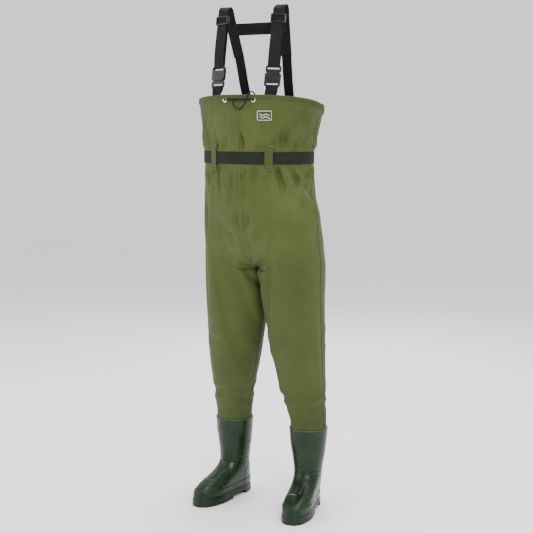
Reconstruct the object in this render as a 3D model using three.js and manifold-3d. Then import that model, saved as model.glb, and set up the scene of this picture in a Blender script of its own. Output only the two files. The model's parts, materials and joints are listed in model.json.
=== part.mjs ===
// Chest waders: a fabric bib and legs with welded boots, a waist belt and adjustable suspenders.
// Millimetres, +Z up. The wearer faces -Y, the wearer's left is +X, and the soles stand on Z = 0.
import * as THREE from "three";
import { mergeVertices } from "three/addons/utils/BufferGeometryUtils.js";
import Module from "manifold-3d";

const wasm = await Module();
wasm.setup();

// ---------- Driving dimensions ----------

const clearance = 0.3; // between pieces that touch
const seamGap = 0.4; // between two panels at their shared seam
const setForward = 9; // from the axis that the tables measure Y from to the middle of the whole
const fabric = 2; // thickness of a panel

// Body sections, from the crotch up: height, half width, half depth, middle of the depth.
const crotchZ = 810;
const torsoSections = [
  [crotchZ, 212, 130, 35],
  [870, 210, 140, 25],
  [970, 214, 146, 7],
  [1080, 190, 130, -8],
  [1160, 186, 127, -16],
  [1230, 196, 133, -9],
  [1353, 219, 151, 8],
];

// The boots' shafts, which the legs' ends are welded into.
const bootTopZ = 271;
const bootWall = 2.6;
const shaftRadius = 63;
const shaftX = 141.5;
const shaftY = 68;
const ringPoints = 24; // points round a boot
const legOverlap = 29; // how far a leg reaches down into its boot

// Leg sections: height, centre X, half width, centre Y, half depth.
const legEndZ = bootTopZ - legOverlap;
const legEndRadius = (shaftRadius - bootWall) * Math.cos(Math.PI / ringPoints) - clearance;
const legSections = [
  [legEndZ, shaftX, legEndRadius, shaftY, legEndRadius],
  [bootTopZ + 13, shaftX, legEndRadius, shaftY, legEndRadius],
  [325, 138.5, 64, 63, 64],
  [420, 128.5, 76.5, 48, 78],
  [580, 114, 93, 35, 101],
  [740, 107, 103, 35, 120],
  [crotchZ, 106, 106, 37, 126],
  [940, 106, 106, 30, 136],
];
const riseTopZ = 955; // where the two legs have become one trunk

const frontHemZ = 1353;
const sideHemZ = 1325;
const backHemZ = 1226;
const rowsAboveBelt = 11; // from the belt's edge to where the rows start to spread up to the hem

const tapeWidth = 12;
const tapeThickness = 0.8;
const facingHeight = 30;
const facingWall = 1.2;

const cordDiameter = 4.4;
const eyeletColumn = 1.5; // in panel columns from the centre front
const eyeletDrop = 14; // below the hem
const eyeletHole = 8.4; // diameters
const eyeletBarrel = 10;
const eyeletFlange = 17;
const eyeletPlate = 1;

const beltWidth = 38;
const beltThickness = 1.8;
const beltZ = 1160;
const beltLoopWidth = 26;
const beltLoopHeight = 82;
const beltLoopThickness = 1.4;
const frontLoopColumn = 3.5;
const backLoopColumn = 4.5;

const labelWidth = 58; // round the body
const labelHeight = 30;
const labelThickness = 0.8;
const labelZ = 1290;
const labelX = 108; // its middle

const webWidth = 38;
const webThickness = 1.6;
const elasticWidth = 34;

const toeOut = 10; // degrees
const soleThickness = 31.7;
const insoleThickness = 3;
const welt = 4; // how far the outsole stands out from the upper
const treadDepth = 5;

// Boot sections in the foot's own frame, toe towards -Y: height, heel, toe, half width at the
// heel, half width at the ball, and the exponent of the outline (1 is an ellipse).
const bootSections = [
  [soleThickness + clearance, 67, -195, 38, 48, 0.8],
  [46, 68, -191, 39.5, 49.5, 0.82],
  [58, 67, -176, 40.5, 49.5, 0.85],
  [70, 65, -149, 41.5, 48, 0.88],
  [83, 63, -115, 42.5, 46, 0.9],
  [98, 60, -83, 44, 45, 0.95],
  [118, 58, -62, 46, 46, 1],
  [142, 57, -55, 48.5, 48, 1],
  [172, 58, -55, 53.5, 53, 1],
  [213, 61, -60, 60, 60, 1],
  [legEndZ - 4, shaftRadius, -shaftRadius, shaftRadius, shaftRadius, 1],
  [bootTopZ, shaftRadius, -shaftRadius, shaftRadius, shaftRadius, 1],
];

// ---------- Small helpers ----------

const vec = (x, y, z) => new THREE.Vector3(x, y, z);
const mix = THREE.MathUtils.lerp;
const radians = THREE.MathUtils.degToRad;

// A smooth curve through the rows of a table whose first column is the height.
function smoothTable(rows) {
  const width = rows[0].length;
  const secant = (i, k) => (rows[i + 1][k] - rows[i][k]) / (rows[i + 1][0] - rows[i][0]);
  function slope(i, k) {
    if (i === 0 || i === rows.length - 1) return secant(Math.min(i, rows.length - 2), k);
    const before = secant(i - 1, k);
    const after = secant(i, k);
    return before * after > 0 ? (2 * before * after) / (before + after) : 0;
  }
  return (height) => {
    let i = 0;
    while (i < rows.length - 2 && rows[i + 1][0] < height) i += 1;
    const step = rows[i + 1][0] - rows[i][0];
    const t = THREE.MathUtils.clamp((height - rows[i][0]) / step, 0, 1);
    const values = [];
    for (let k = 1; k < width; k += 1) {
      values.push(
        rows[i][k] * (2 * t ** 3 - 3 * t ** 2 + 1) +
          rows[i + 1][k] * (3 * t ** 2 - 2 * t ** 3) +
          slope(i, k) * step * (t ** 3 - 2 * t ** 2 + t) +
          slope(i + 1, k) * step * (t ** 3 - t ** 2),
      );
    }
    return values;
  };
}

function geometryOf(points, triangles) {
  const geometry = new THREE.BufferGeometry().setFromPoints(points);
  geometry.setIndex(triangles);
  let volume = 0;
  for (let i = 0; i < triangles.length; i += 3) {
    const [a, b, c] = [points[triangles[i]], points[triangles[i + 1]], points[triangles[i + 2]]];
    volume += a.dot(b.clone().cross(c));
  }
  if (volume < 0) geometry.setIndex(triangles.toReversed());
  return geometry;
}

// A closed solid through rings of equally many points, capped at both ends with a fan.
function loft(rings) {
  const count = rings[0].length;
  const points = rings.flat();
  const triangles = [];
  for (let r = 0; r < rings.length - 1; r += 1) {
    for (let k = 0; k < count; k += 1) {
      const a = r * count + k;
      const b = r * count + ((k + 1) % count);
      const [c, d] = [a + count, b + count];
      triangles.push(a, b, c, b, d, c);
    }
  }
  for (const [ring, turn] of [[0, false], [rings.length - 1, true]]) {
    const start = ring * count;
    const centre = rings[ring].reduce((sum, p) => sum.add(p), vec(0, 0, 0));
    points.push(centre.multiplyScalar(1 / count));
    for (let k = 0; k < count; k += 1) {
      const a = start + k;
      const b = start + ((k + 1) % count);
      triangles.push(points.length - 1, turn ? a : b, turn ? b : a);
    }
  }
  return geometryOf(points, triangles);
}

// A flat section, given as [across, along] pairs, carried through a list of frames.
function sweep(frames, section) {
  const rings = frames.map(({ at, across, along }) =>
    section.map(([a, b]) => at.clone().addScaledVector(across, a).addScaledVector(along, b)),
  );
  const count = section.length;
  const points = rings.flat();
  const triangles = [];
  for (let r = 0; r < rings.length - 1; r += 1) {
    for (let k = 0; k < count; k += 1) {
      const a = r * count + k;
      const b = r * count + ((k + 1) % count);
      const [c, d] = [a + count, b + count];
      triangles.push(a, c, b, b, c, d);
    }
  }
  const flat = section.map(([a, b]) => new THREE.Vector2(a, b));
  const turned = THREE.ShapeUtils.area(flat) < 0;
  const faces = THREE.ShapeUtils.triangulateShape(turned ? flat.toReversed() : flat, []);
  const place = (i) => (turned ? count - 1 - i : i);
  const end = (rings.length - 1) * count;
  for (const [a, b, c] of faces) {
    const [i, j, k] = turned
      ? [place(c), place(b), place(a)]
      : [place(a), place(b), place(c)];
    triangles.push(i, j, k, end + k, end + j, end + i);
  }
  return geometryOf(points, triangles);
}

// A band of webbing along a path: each station has its middle and its width direction.
function webbing(stations, width, thickness) {
  const frames = stations.map((station, i) => {
    const before = stations[Math.max(i - 1, 0)].at;
    const after = stations[Math.min(i + 1, stations.length - 1)].at;
    const tangent = after.clone().sub(before).normalize();
    const across = station.across.clone().addScaledVector(tangent, -station.across.dot(tangent));
    across.normalize();
    return { at: station.at, across, along: tangent.clone().cross(across) };
  });
  const [w, t] = [width / 2, thickness / 2];
  return sweep(frames, [[-w, -t], [w, -t], [w, t], [-w, t]]);
}

function solidOf(geometry) {
  const bare = geometry.clone();
  bare.deleteAttribute("normal");
  bare.deleteAttribute("uv");
  const merged = mergeVertices(bare, 1e-4);
  return new wasm.Manifold(
    new wasm.Mesh({
      numProp: 3,
      vertProperties: merged.attributes.position.array,
      triVerts: new Uint32Array(merged.index.array),
    }),
  );
}

function geometryOfSolid(solid) {
  const mesh = solid.getMesh();
  const geometry = new THREE.BufferGeometry();
  geometry.setAttribute("position", new THREE.BufferAttribute(mesh.vertProperties, 3));
  geometry.setIndex(new THREE.BufferAttribute(mesh.triVerts, 1));
  return geometry;
}

// The first geometry joined with the next ones, then cut with the last ones.
function joinAndCut(joined, cuts) {
  let solid = solidOf(joined[0]);
  for (const other of joined.slice(1)) solid = solid.add(solidOf(other));
  for (const cut of cuts) solid = solid.subtract(solidOf(cut));
  return geometryOfSolid(solid);
}

function box(xRange, yRange, zRange) {
  const sizes = [xRange, yRange, zRange].map(([low, high]) => high - low);
  const middles = [xRange, yRange, zRange].map(([low, high]) => (low + high) / 2);
  return new THREE.BoxGeometry(...sizes).translate(...middles);
}

// A flat outline of [x, y] pairs given a thickness from zLow to zHigh.
function plate(outline, zLow, zHigh) {
  const shape = new THREE.Shape(outline.map(([x, y]) => new THREE.Vector2(x, y)));
  const options = { depth: zHigh - zLow, bevelEnabled: false };
  return new THREE.ExtrudeGeometry(shape, options).translate(0, 0, zLow);
}

// An outline with cut corners.
function chamfered(halfWidth, low, high, corner) {
  return [
    [-halfWidth + corner, low],
    [halfWidth - corner, low],
    [halfWidth, low + corner],
    [halfWidth, high - corner],
    [halfWidth - corner, high],
    [-halfWidth + corner, high],
    [-halfWidth, high - corner],
    [-halfWidth, low + corner],
  ];
}

// ---------- The body's surface ----------

const torsoAt = smoothTable(torsoSections);
const legAt = smoothTable(legSections);
const columns = 10;

// 0 on the trunk and 1 on a leg. At the inner seam it makes the crotch a quarter round, and
// away from it the trunk passes into the leg without a crease.
function legShare(t, z) {
  if (z <= crotchZ) return 1;
  if (z >= riseTopZ) return 0;
  const up = (z - crotchZ) / (riseTopZ - crotchZ);
  const quarterRound = 1 - Math.sqrt(1 - (1 - up) ** 2);
  const gentle = 1 - THREE.MathUtils.smoothstep(up, 0, 1);
  return mix(quarterRound, gentle, THREE.MathUtils.smoothstep(t, 0, 0.5));
}

// A point of the outer surface. side is 1 on the wearer's left, face is -1 in front,
// and t runs from the inner seam, at 0, to the side seam, at 1.
function bodyPoint(side, face, t, z) {
  const share = legShare(t, z);
  const [halfWidth, halfDepth, middle] = torsoAt(Math.max(z, crotchZ));
  const [legX, legWidth, legY, legDepth] = legAt(z);
  const turn = (Math.PI / 2) * t;
  const turnLeg = Math.PI * (1 - t);
  const centre = z < crotchZ ? legX : halfWidth / 2;
  const radius = z < crotchZ ? legWidth : halfWidth / 2;
  const x = mix(halfWidth * Math.sin(turn), centre + radius * Math.cos(turnLeg), share);
  const y = mix(
    middle + face * halfDepth * Math.cos(turn),
    legY + face * legDepth * Math.sin(turnLeg),
    share,
  );
  return vec(side * (x + seamGap / 2), y + (face * seamGap) / 2, z);
}

function bodyNormal(side, face, t, z) {
  const stepT = 0.01;
  const stepZ = z > crotchZ && z < crotchZ + 4 ? 0.2 : 1;
  const across = bodyPoint(side, face, t + stepT, z).sub(bodyPoint(side, face, t - stepT, z));
  const up = bodyPoint(side, face, t, z + stepZ).sub(bodyPoint(side, face, t, z - stepZ));
  return across.cross(up).multiplyScalar(-side * face).normalize();
}

function hemHeight(face, t) {
  if (face < 0) return mix(frontHemZ, sideHemZ, t ** 2.4);
  return mix(backHemZ, sideHemZ, THREE.MathUtils.smoothstep(t, 0.05, 1));
}

// The heights of a panel's rows at one column, from the boot to the hem.
function rowHeights(face, t) {
  const heights = [];
  const legRows = 9;
  const collarZ = legSections[1][0];
  for (let i = 0; i <= legRows; i += 1) heights.push(mix(collarZ, crotchZ - 12, i / legRows));
  heights.unshift(legEndZ);
  const riseRows = 8;
  for (let i = 0; i <= riseRows; i += 1) {
    heights.push(mix(crotchZ, riseTopZ, 1 - Math.cos((Math.PI / 2) * (i / riseRows))));
  }
  const beltLowZ = beltZ - beltWidth / 2;
  const hipRows = 4;
  for (let i = 1; i <= hipRows; i += 1) heights.push(mix(riseTopZ, beltLowZ, i / hipRows));
  heights.push(beltZ, beltZ + beltWidth / 2);
  const evenRowsTopZ = beltZ + beltWidth / 2 + rowsAboveBelt;
  const bibRows = 5;
  const hem = hemHeight(face, t);
  for (let i = 0; i <= bibRows; i += 1) heights.push(mix(evenRowsTopZ, hem, i / bibRows));
  return heights;
}

// A point on the panel's flat facets, a distance out from the outer face.
function facetPoint(side, face, column, z, out = 0) {
  const low = Math.min(Math.floor(column), columns - 1);
  const at = (k) => {
    const t = k / columns;
    const heights = rowHeights(face, t);
    let row = 0;
    while (row < heights.length - 2 && heights[row + 1] < z) row += 1;
    const [below, above] = [heights[row], heights[row + 1]].map((h) =>
      bodyPoint(side, face, t, h).addScaledVector(bodyNormal(side, face, t, h), out),
    );
    return below.lerp(above, (z - below.z) / (above.z - below.z));
  };
  return at(low).lerp(at(low + 1), column - low);
}

// The frame of a facet: its point, the direction away from the inner seam, up, and outward.
function facetFrame(side, face, column, z, out = 0) {
  const low = Math.min(Math.floor(column), columns - 1);
  const at = facetPoint(side, face, column, z, out);
  const across = facetPoint(side, face, low + 1, z).sub(facetPoint(side, face, low, z));
  across.normalize();
  const up = facetPoint(side, face, column, z + 8).sub(facetPoint(side, face, column, z - 8));
  up.addScaledVector(across, -up.dot(across)).normalize();
  const outward = across.clone().cross(up).multiplyScalar(-side * face);
  return { at, across, up, outward };
}

// A thin solid between two grids of points of the same size.
function sheet(outer, inner) {
  const rings = outer.map((row, r) => [...row, ...inner[r].toReversed()]);
  const count = rings[0].length;
  const half = outer[0].length;
  const points = rings.flat();
  const triangles = [];
  for (let r = 0; r < rings.length - 1; r += 1) {
    for (let k = 0; k < count; k += 1) {
      const [a, b] = [r * count + k, r * count + ((k + 1) % count)];
      const [c, d] = [a + count, b + count];
      if (k < half) triangles.push(a, b, c, b, d, c);
      else triangles.push(a, b, d, a, d, c);
    }
  }
  for (const [ring, turn] of [[0, false], [rings.length - 1, true]]) {
    const start = ring * count;
    for (let k = 0; k < half - 1; k += 1) {
      const [a, b] = [start + k, start + k + 1];
      const [c, d] = [start + count - 1 - k, start + count - 2 - k];
      if (turn) triangles.push(a, b, c, b, d, c);
      else triangles.push(a, c, b, b, c, d);
    }
  }
  return geometryOf(points, triangles);
}

// A patch that follows the body at a distance from its outer face. Each place is
// { side, face, column }, and heights gives the rows.
function bodyPatch(places, heights, gap, thickness) {
  const layer = (out) =>
    places.map(({ side, face, column }) =>
      heights.map((z) => facetPoint(side, face, column, z, out)),
    );
  return sheet(layer(gap + thickness), layer(gap));
}

// ---------- Materials and nodes ----------

const material = (color, roughness, metalness = 0) =>
  new THREE.MeshStandardMaterial({ color, roughness, metalness });
const olive = material(0x636b3d, 0.85);
const oliveTrim = material(0x525c30, 0.85);
const tapeGrey = material(0x4a5040, 0.8);
const blackWeb = material(0x22241f, 0.9);
const blackPlastic = material(0x1b1d1c, 0.45);
const bootGreen = material(0x33462f, 0.45);
const soleGreen = material(0x2a3a2b, 0.6);
const brass = material(0xcfc69a, 0.35, 0.9);
const felt = material(0x6d6a5c, 0.95);
const labelDark = material(0x2b3326, 0.7);

const waders = new THREE.Group();
waders.position.y = -setForward;
function add(name, geometry, look, parent = waders) {
  const mesh = new THREE.Mesh(geometry, look);
  mesh.name = name;
  parent.add(mesh);
  return mesh;
}

const sides = [
  { word: "left", side: 1 },
  { word: "right", side: -1 },
];
const faces = [
  { word: "front", face: -1 },
  { word: "back", face: 1 },
];

// ---------- Fabric body ----------

function eyeletFrame(side) {
  const t = eyeletColumn / columns;
  return facetFrame(side, -1, eyeletColumn, hemHeight(-1, t) - eyeletDrop);
}

// Turns a shape made round the Z axis so that Z is the frame's outward direction.
function placedOutward(geometry, frame) {
  const basis = new THREE.Matrix4().makeBasis(
    frame.up.clone().cross(frame.outward),
    frame.up,
    frame.outward,
  );
  return geometry.applyMatrix4(basis).translate(frame.at.x, frame.at.y, frame.at.z);
}

function disc(diameter, length) {
  return new THREE.CylinderGeometry(diameter / 2, diameter / 2, length, 20).rotateX(Math.PI / 2);
}

function panel(side, face) {
  const outer = [];
  const inner = [];
  for (let k = 0; k <= columns; k += 1) {
    const t = k / columns;
    const heights = rowHeights(face, t);
    outer.push(heights.map((z) => bodyPoint(side, face, t, z)));
    inner.push(
      heights.map((z) =>
        bodyPoint(side, face, t, z).addScaledVector(bodyNormal(side, face, t, z), -fabric),
      ),
    );
  }
  const whole = sheet(outer, inner);
  if (face > 0) return whole;
  const hole = placedOutward(disc(eyeletBarrel + 2 * clearance, 12), eyeletFrame(side));
  return joinAndCut([whole], [hole]);
}

for (const { word, side } of sides) {
  for (const { word: faceWord, face } of faces) {
    add(faceWord + "_" + word + "_panel", panel(side, face), olive);
  }
}

// Seam tapes lie on the inside, clear of the panels' facets, which lean in at the seam.
const tapeLean = Math.sin(Math.PI / (2 * columns));
const tapeInset = fabric + clearance + (tapeWidth / 2) * tapeLean + tapeThickness / 2;

function seamTape(placeOf, heights) {
  const frames = heights.map((z) => {
    const { at, normal, across } = placeOf(z);
    return { at: at.addScaledVector(normal, -tapeInset), across, along: normal };
  });
  const [w, t] = [tapeWidth / 2, tapeThickness / 2];
  return sweep(frames, [[-w, -t], [w, -t], [w, t], [-w, t]]);
}

// The middle of the seam between two panels: centre seams lie between the two sides, and
// side seams and inseams between the front and the back.
function centreSeam(face) {
  return (z) => {
    const at = bodyPoint(1, face, 0, z).setX(0);
    const normal = bodyNormal(1, face, 0, z).setX(0).normalize();
    return { at, normal, across: vec(1, 0, 0) };
  };
}

function legSeam(side, t) {
  return (z) => {
    const at = bodyPoint(side, -1, t, z).add(bodyPoint(side, 1, t, z)).multiplyScalar(0.5);
    const normal = bodyNormal(side, -1, t, z).add(bodyNormal(side, 1, t, z)).setY(0);
    return { at, normal: normal.normalize(), across: vec(0, 1, 0) };
  };
}

function heightsBetween(face, low, high) {
  const inside = rowHeights(face, 1).filter((z) => z > low + 2 && z < high - 2);
  return [low, ...inside, high];
}

const tapeEndBelowHem = facingHeight + 8;
const crotchTapeEnd = crotchZ + 25;
for (const { word, face } of faces) {
  const top = hemHeight(face, 0) - tapeEndBelowHem;
  const heights = rowHeights(face, 0).filter((z) => z > crotchTapeEnd + 2 && z < top - 2);
  const tape = seamTape(centreSeam(face), [crotchTapeEnd, ...heights, top]);
  add("centre_" + word + "_seam_tape", tape, tapeGrey);
}
for (const { word, side } of sides) {
  const outside = heightsBetween(-1, legEndZ + 4, sideHemZ - tapeEndBelowHem);
  add(word + "_side_seam_tape", seamTape(legSeam(side, 1), outside), tapeGrey);
  const inside = heightsBetween(-1, legEndZ + 4, crotchZ - 14);
  add(word + "_inseam_tape", seamTape(legSeam(side, 0), inside), tapeGrey);
}

// ---------- Hem facings ----------

// A hem frame at a column: the hem's edge, the direction inward and the direction down.
function hemFrame(side, face, column) {
  if (!Number.isInteger(column)) {
    const [low, high] = [Math.floor(column), Math.ceil(column)].map((c) => hemFrame(side, face, c));
    const share = column - Math.floor(column);
    return {
      at: low.at.lerp(high.at, share),
      across: low.across.lerp(high.across, share),
      along: low.along.lerp(high.along, share),
    };
  }
  const t = column / columns;
  const z = hemHeight(face, t);
  const at = bodyPoint(side, face, t, z);
  const normal = bodyNormal(side, face, t, z);
  const down = bodyPoint(side, face, t, z - facingHeight).sub(at);
  if (column === 0) for (const v of [at, normal, down]) v.setX(0);
  return { at, across: normal.normalize().negate(), along: down.normalize() };
}

// Frames along a hem, from the wearer's right to the left, stopping short of the side seams.
function hemFrames(face) {
  const last = columns - 0.25;
  const frames = [];
  for (let k = -columns; k <= columns; k += 1) {
    frames.push(hemFrame(k < 0 ? -1 : 1, face, Math.min(Math.abs(k), last)));
  }
  return frames;
}

const tunnelDepth = eyeletPlate + cordDiameter + 3 * clearance;
const facingInset = fabric + clearance;
const facingTop = 2;
const tunnelSection = [
  [facingInset, facingTop],
  [facingInset + tunnelDepth + facingWall, facingTop],
  [facingInset + tunnelDepth + facingWall, facingTop + facingHeight],
  [facingInset, facingTop + facingHeight],
  [facingInset, facingTop + facingHeight - facingWall],
  [facingInset + tunnelDepth, facingTop + facingHeight - facingWall],
  [facingInset + tunnelDepth, facingTop + facingWall],
  [facingInset, facingTop + facingWall],
];
const plainSection = [
  [facingInset, facingTop],
  [facingInset + facingWall, facingTop],
  [facingInset + facingWall, facingTop + facingHeight],
  [facingInset, facingTop + facingHeight],
];
add("front_hem_facing", sweep(hemFrames(-1), tunnelSection), oliveTrim);
add("back_hem_facing", sweep(hemFrames(1), plainSection), oliveTrim);

// ---------- Eyelets and drawcord ----------

function ring(innerDiameter, outerDiameter, low, high) {
  const profile = [
    [innerDiameter / 2, low],
    [outerDiameter / 2, low],
    [outerDiameter / 2, high],
    [innerDiameter / 2, high],
    [innerDiameter / 2, low],
  ];
  const points = profile.map(([x, y]) => new THREE.Vector2(x, y));
  return new THREE.LatheGeometry(points, 20).rotateX(Math.PI / 2);
}

function eyelet() {
  const back = -fabric - clearance - eyeletPlate;
  const profile = [
    [eyeletHole / 2, back],
    [eyeletBarrel / 2, back],
    [eyeletBarrel / 2, clearance],
    [eyeletFlange / 2, clearance],
    [eyeletFlange / 2 - 1, clearance + eyeletPlate],
    [eyeletHole / 2, clearance + eyeletPlate],
    [eyeletHole / 2, back],
  ];
  const points = profile.map(([x, y]) => new THREE.Vector2(x, y));
  return new THREE.LatheGeometry(points, 20).rotateX(Math.PI / 2);
}

for (const { word, side } of sides) {
  const frame = eyeletFrame(side);
  add(word + "_eyelet", placedOutward(eyelet(), frame), brass);
  const washer = ring(
    eyeletBarrel + 2 * clearance,
    eyeletFlange,
    -facingInset - eyeletPlate,
    -facingInset,
  );
  add(word + "_eyelet_washer", placedOutward(washer, frame), brass);
}

function cordTube(points, steps) {
  const section = new THREE.Shape();
  const sectionSides = 8;
  for (let k = 0; k < sectionSides; k += 1) {
    const angle = (2 * Math.PI * k) / sectionSides;
    const [x, y] = [Math.cos(angle), Math.sin(angle)].map((c) => (c * cordDiameter) / 2);
    if (k === 0) section.moveTo(x, y);
    else section.lineTo(x, y);
  }
  const extrudePath = new THREE.CatmullRomCurve3(points, false, "centripetal");
  return new THREE.ExtrudeGeometry(section, { steps, extrudePath, bevelEnabled: false });
}

// The drawcord lies in the hem's tunnel, comes out of one eyelet, crosses the front and goes
// back in at the other one. Each length meets the next with a small gap.
const tunnelMiddle = facingInset + eyeletPlate + clearance + cordDiameter / 2;
const cordSlack = 0.5; // the front length stands off the panel by this much more
const cordOut = eyeletPlate + 2 * clearance + cordDiameter / 2 + cordSlack;
function tunnelPoint(side, column) {
  const frame = hemFrame(side, -1, column);
  return frame.at.addScaledVector(frame.across, tunnelMiddle).addScaledVector(frame.along, eyeletDrop);
}
const tunnelTurn = 2.2; // the column where the tunnel lengths meet the front length
for (const { word, side } of sides) {
  const route = [9, 8, 7, 6, 5, 4, 3, tunnelTurn + 0.02].map((column) => tunnelPoint(side, column));
  add("drawcord_" + word + "_tunnel", cordTube(route, 18), blackWeb);
}
function frontRouteHalf(side) {
  const frame = eyeletFrame(side);
  const place = ([across, out]) =>
    frame.at.clone().addScaledVector(frame.across, across).addScaledVector(frame.outward, out);
  const bend = [[6, -5.9], [2.6, -5.5], [0.9, -3.6], [0, -1], [-1, 2], [-4.4, cordOut]];
  return [tunnelPoint(side, tunnelTurn), ...bend.map(place)];
}
const crossingZ = eyeletFrame(1).at.z;
const crossingY = facetPoint(1, -1, 0, crossingZ).y - cordOut;
const frontRoute = [
  ...frontRouteHalf(-1),
  vec(0, crossingY, crossingZ),
  ...frontRouteHalf(1).toReversed(),
];
add("drawcord_front", cordTube(frontRoute, 40), blackWeb);

// The cord's loose bight: it hangs in front of the crossing cord and goes up over the hem.
const bightStart = vec(-14, crossingY - cordDiameter - 0.1, crossingZ + 1);
const bightRoute = [
  [0, 0, 0],
  [1, -1, -12],
  [9, -1, -25],
  [24, -1, -30],
  [38, -1, -20],
  [48, 0, 0],
  [56, 1, 18],
  [60, 9, 23],
  [62, 24, 19],
  [63, 30, 5],
  [63, 31, -16],
].map(([x, y, z]) => bightStart.clone().add(vec(x, y, z)));
add("drawcord_loop", cordTube(bightRoute, 22), blackWeb);

// ---------- Chest label ----------

// The column where a row of the panel has a given half width.
function columnAt(x, z) {
  let column = 0;
  while (column < columns && facetPoint(1, -1, column, z).x < x) column += 0.02;
  return column;
}
function labelPlaces() {
  const lean = facetFrame(1, -1, columnAt(labelX, labelZ), labelZ).across.x;
  const low = columnAt(labelX - (labelWidth / 2) * lean, labelZ);
  const high = columnAt(labelX + (labelWidth / 2) * lean, labelZ);
  const corners = [];
  for (let k = 0; k <= columns; k += 1) if (k > low + 0.05 && k < high - 0.05) corners.push(k);
  return [low, ...corners, high].map((column) => ({ side: 1, face: -1, column }));
}
const labelHeights = [labelZ - labelHeight / 2, labelZ + labelHeight / 2];
add(
  "chest_label",
  bodyPatch(labelPlaces(), labelHeights, clearance, labelThickness),
  labelDark,
);

// ---------- Side-release buckles ----------

// A buckle's own frame: X across the webbing, Y the way the plug pulls out, with the mouth of
// the housing at Y = 0, and Z outward, with 0 at the middle of the housing.
const buckleWidth = webWidth + 12;
const housingLength = 44;
const housingThickness = 10;
const cavityHalfWidth = 19.6;
const cavityThickness = 5;
const sideSlotThickness = 4.6;
const cavityEnd = -34;
const windowEnd = -31.5;
const plugThickness = 5.6;
const plugLength = 22;
const prongThickness = 3.4;
const barSize = 4; // a square bar that the webbing is looped round
const slotLength = 7.5;
const slotHalf = webWidth / 2 + 1;
const loopRadius = (barSize / 2) * Math.SQRT2 + clearance + webThickness / 2;

const bandOf = (half) => [-half, half];

// What is cut away at a bar, between yBar and the slot beside it, so that webbing can pass.
// towards is 1 where the slot lies at a larger Y than the bar.
function barCuts(yBar, towards, bodyHalfThickness) {
  const slot = [towards * (barSize / 2), towards * (barSize / 2 + slotLength)];
  const slotRange = slot.map((y) => y + yBar).sort((a, b) => a - b);
  const barRange = [-1, 1].map((way) => yBar + way * (barSize / 2 + 1));
  const skin = [barSize / 2, bodyHalfThickness + 1];
  return [
    box(bandOf(slotHalf), slotRange, bandOf(bodyHalfThickness + 1)),
    box(bandOf(slotHalf), barRange, skin),
    box(bandOf(slotHalf), barRange, skin.map((z) => -z).toReversed()),
  ];
}

const housingBar = -housingLength + barSize / 2;
const plugBar = plugLength - barSize / 2;

function housing() {
  const halfThickness = housingThickness / 2;
  const outline = chamfered(buckleWidth / 2, -housingLength, 0, 5);
  const cuts = [
    box(bandOf(cavityHalfWidth), [cavityEnd, 1], bandOf(cavityThickness / 2)),
    box(bandOf(buckleWidth), [windowEnd, 1], bandOf(sideSlotThickness / 2)),
    ...barCuts(housingBar, 1, halfThickness),
  ];
  return joinAndCut([plate(outline, ...bandOf(halfThickness))], cuts);
}

function plug() {
  const halfThickness = plugThickness / 2;
  const body = plate(chamfered(buckleWidth / 2, clearance, plugLength, 4), ...bandOf(halfThickness));
  const tongue = box(bandOf(3.6), [-24, 2], bandOf(cavityThickness / 2 - clearance));
  return joinAndCut([body, tongue], barCuts(plugBar, -1, halfThickness));
}

// A flexing arm, on the +X side of the plug or on the other one.
function prong(side) {
  const outline = [
    [12, -0.6],
    [17.5, -0.6],
    [17.5, -19],
    [22.6, -21],
    [22.6, -26.5],
    [17, -32.5],
    [12.5, -32.5],
    [11.5, -12],
  ];
  const turned = outline.map(([x, y]) => [side * x, y]);
  return plate(turned, ...bandOf(prongThickness / 2));
}

function addBuckle(prefix, frame, pull = 1) {
  const place = (geometry) => {
    const along = frame.up.clone().multiplyScalar(pull);
    const across = along.clone().cross(frame.outward);
    const basis = new THREE.Matrix4().makeBasis(across, along, frame.outward);
    return geometry.applyMatrix4(basis).translate(frame.at.x, frame.at.y, frame.at.z);
  };
  add(prefix + "_buckle_housing", place(housing()), blackPlastic);
  add(prefix + "_buckle_plug", place(plug()), blackPlastic);
  add(prefix + "_buckle_prong_a", place(prong(1)), blackPlastic);
  add(prefix + "_buckle_prong_b", place(prong(-1)), blackPlastic);
}

// ---------- Belt and belt loops ----------

// The belt is a strip round the waist with a loop of webbing round each bar of its buckle.
const beltGap = 0.5;
const beltEndX = 66; // where the strip stops, each side of the centre back
const beltLow = beltZ - beltWidth / 2;
const beltHigh = beltZ + beltWidth / 2;
const backFacet = facetFrame(1, 1, 0, beltZ);
const backY = backFacet.at.y;
const beltBuckleY = backY + clearance + housingThickness / 2 + 4;
const beltBuckle = {
  at: vec((housingLength - plugLength) / 2, beltBuckleY, beltZ),
  up: vec(1, 0, 0),
  outward: vec(0, 1, 0),
};

function backColumnAt(x) {
  let column = 0;
  while (column < columns && facetPoint(1, 1, column, beltZ).x < x) column += 0.02;
  return column;
}

function beltPlaces() {
  const end = backColumnAt(beltEndX);
  const places = [{ side: -1, face: 1, column: end }];
  for (let k = Math.ceil(end + 0.1); k <= columns; k += 1) places.push({ side: -1, face: 1, column: k });
  for (let k = columns; k >= 0; k -= 1) places.push({ side: -1, face: -1, column: k });
  for (let k = 0; k <= columns; k += 1) places.push({ side: 1, face: -1, column: k });
  for (let k = columns; k > end + 0.1; k -= 1) places.push({ side: 1, face: 1, column: k });
  places.push({ side: 1, face: 1, column: end });
  return places;
}

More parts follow.
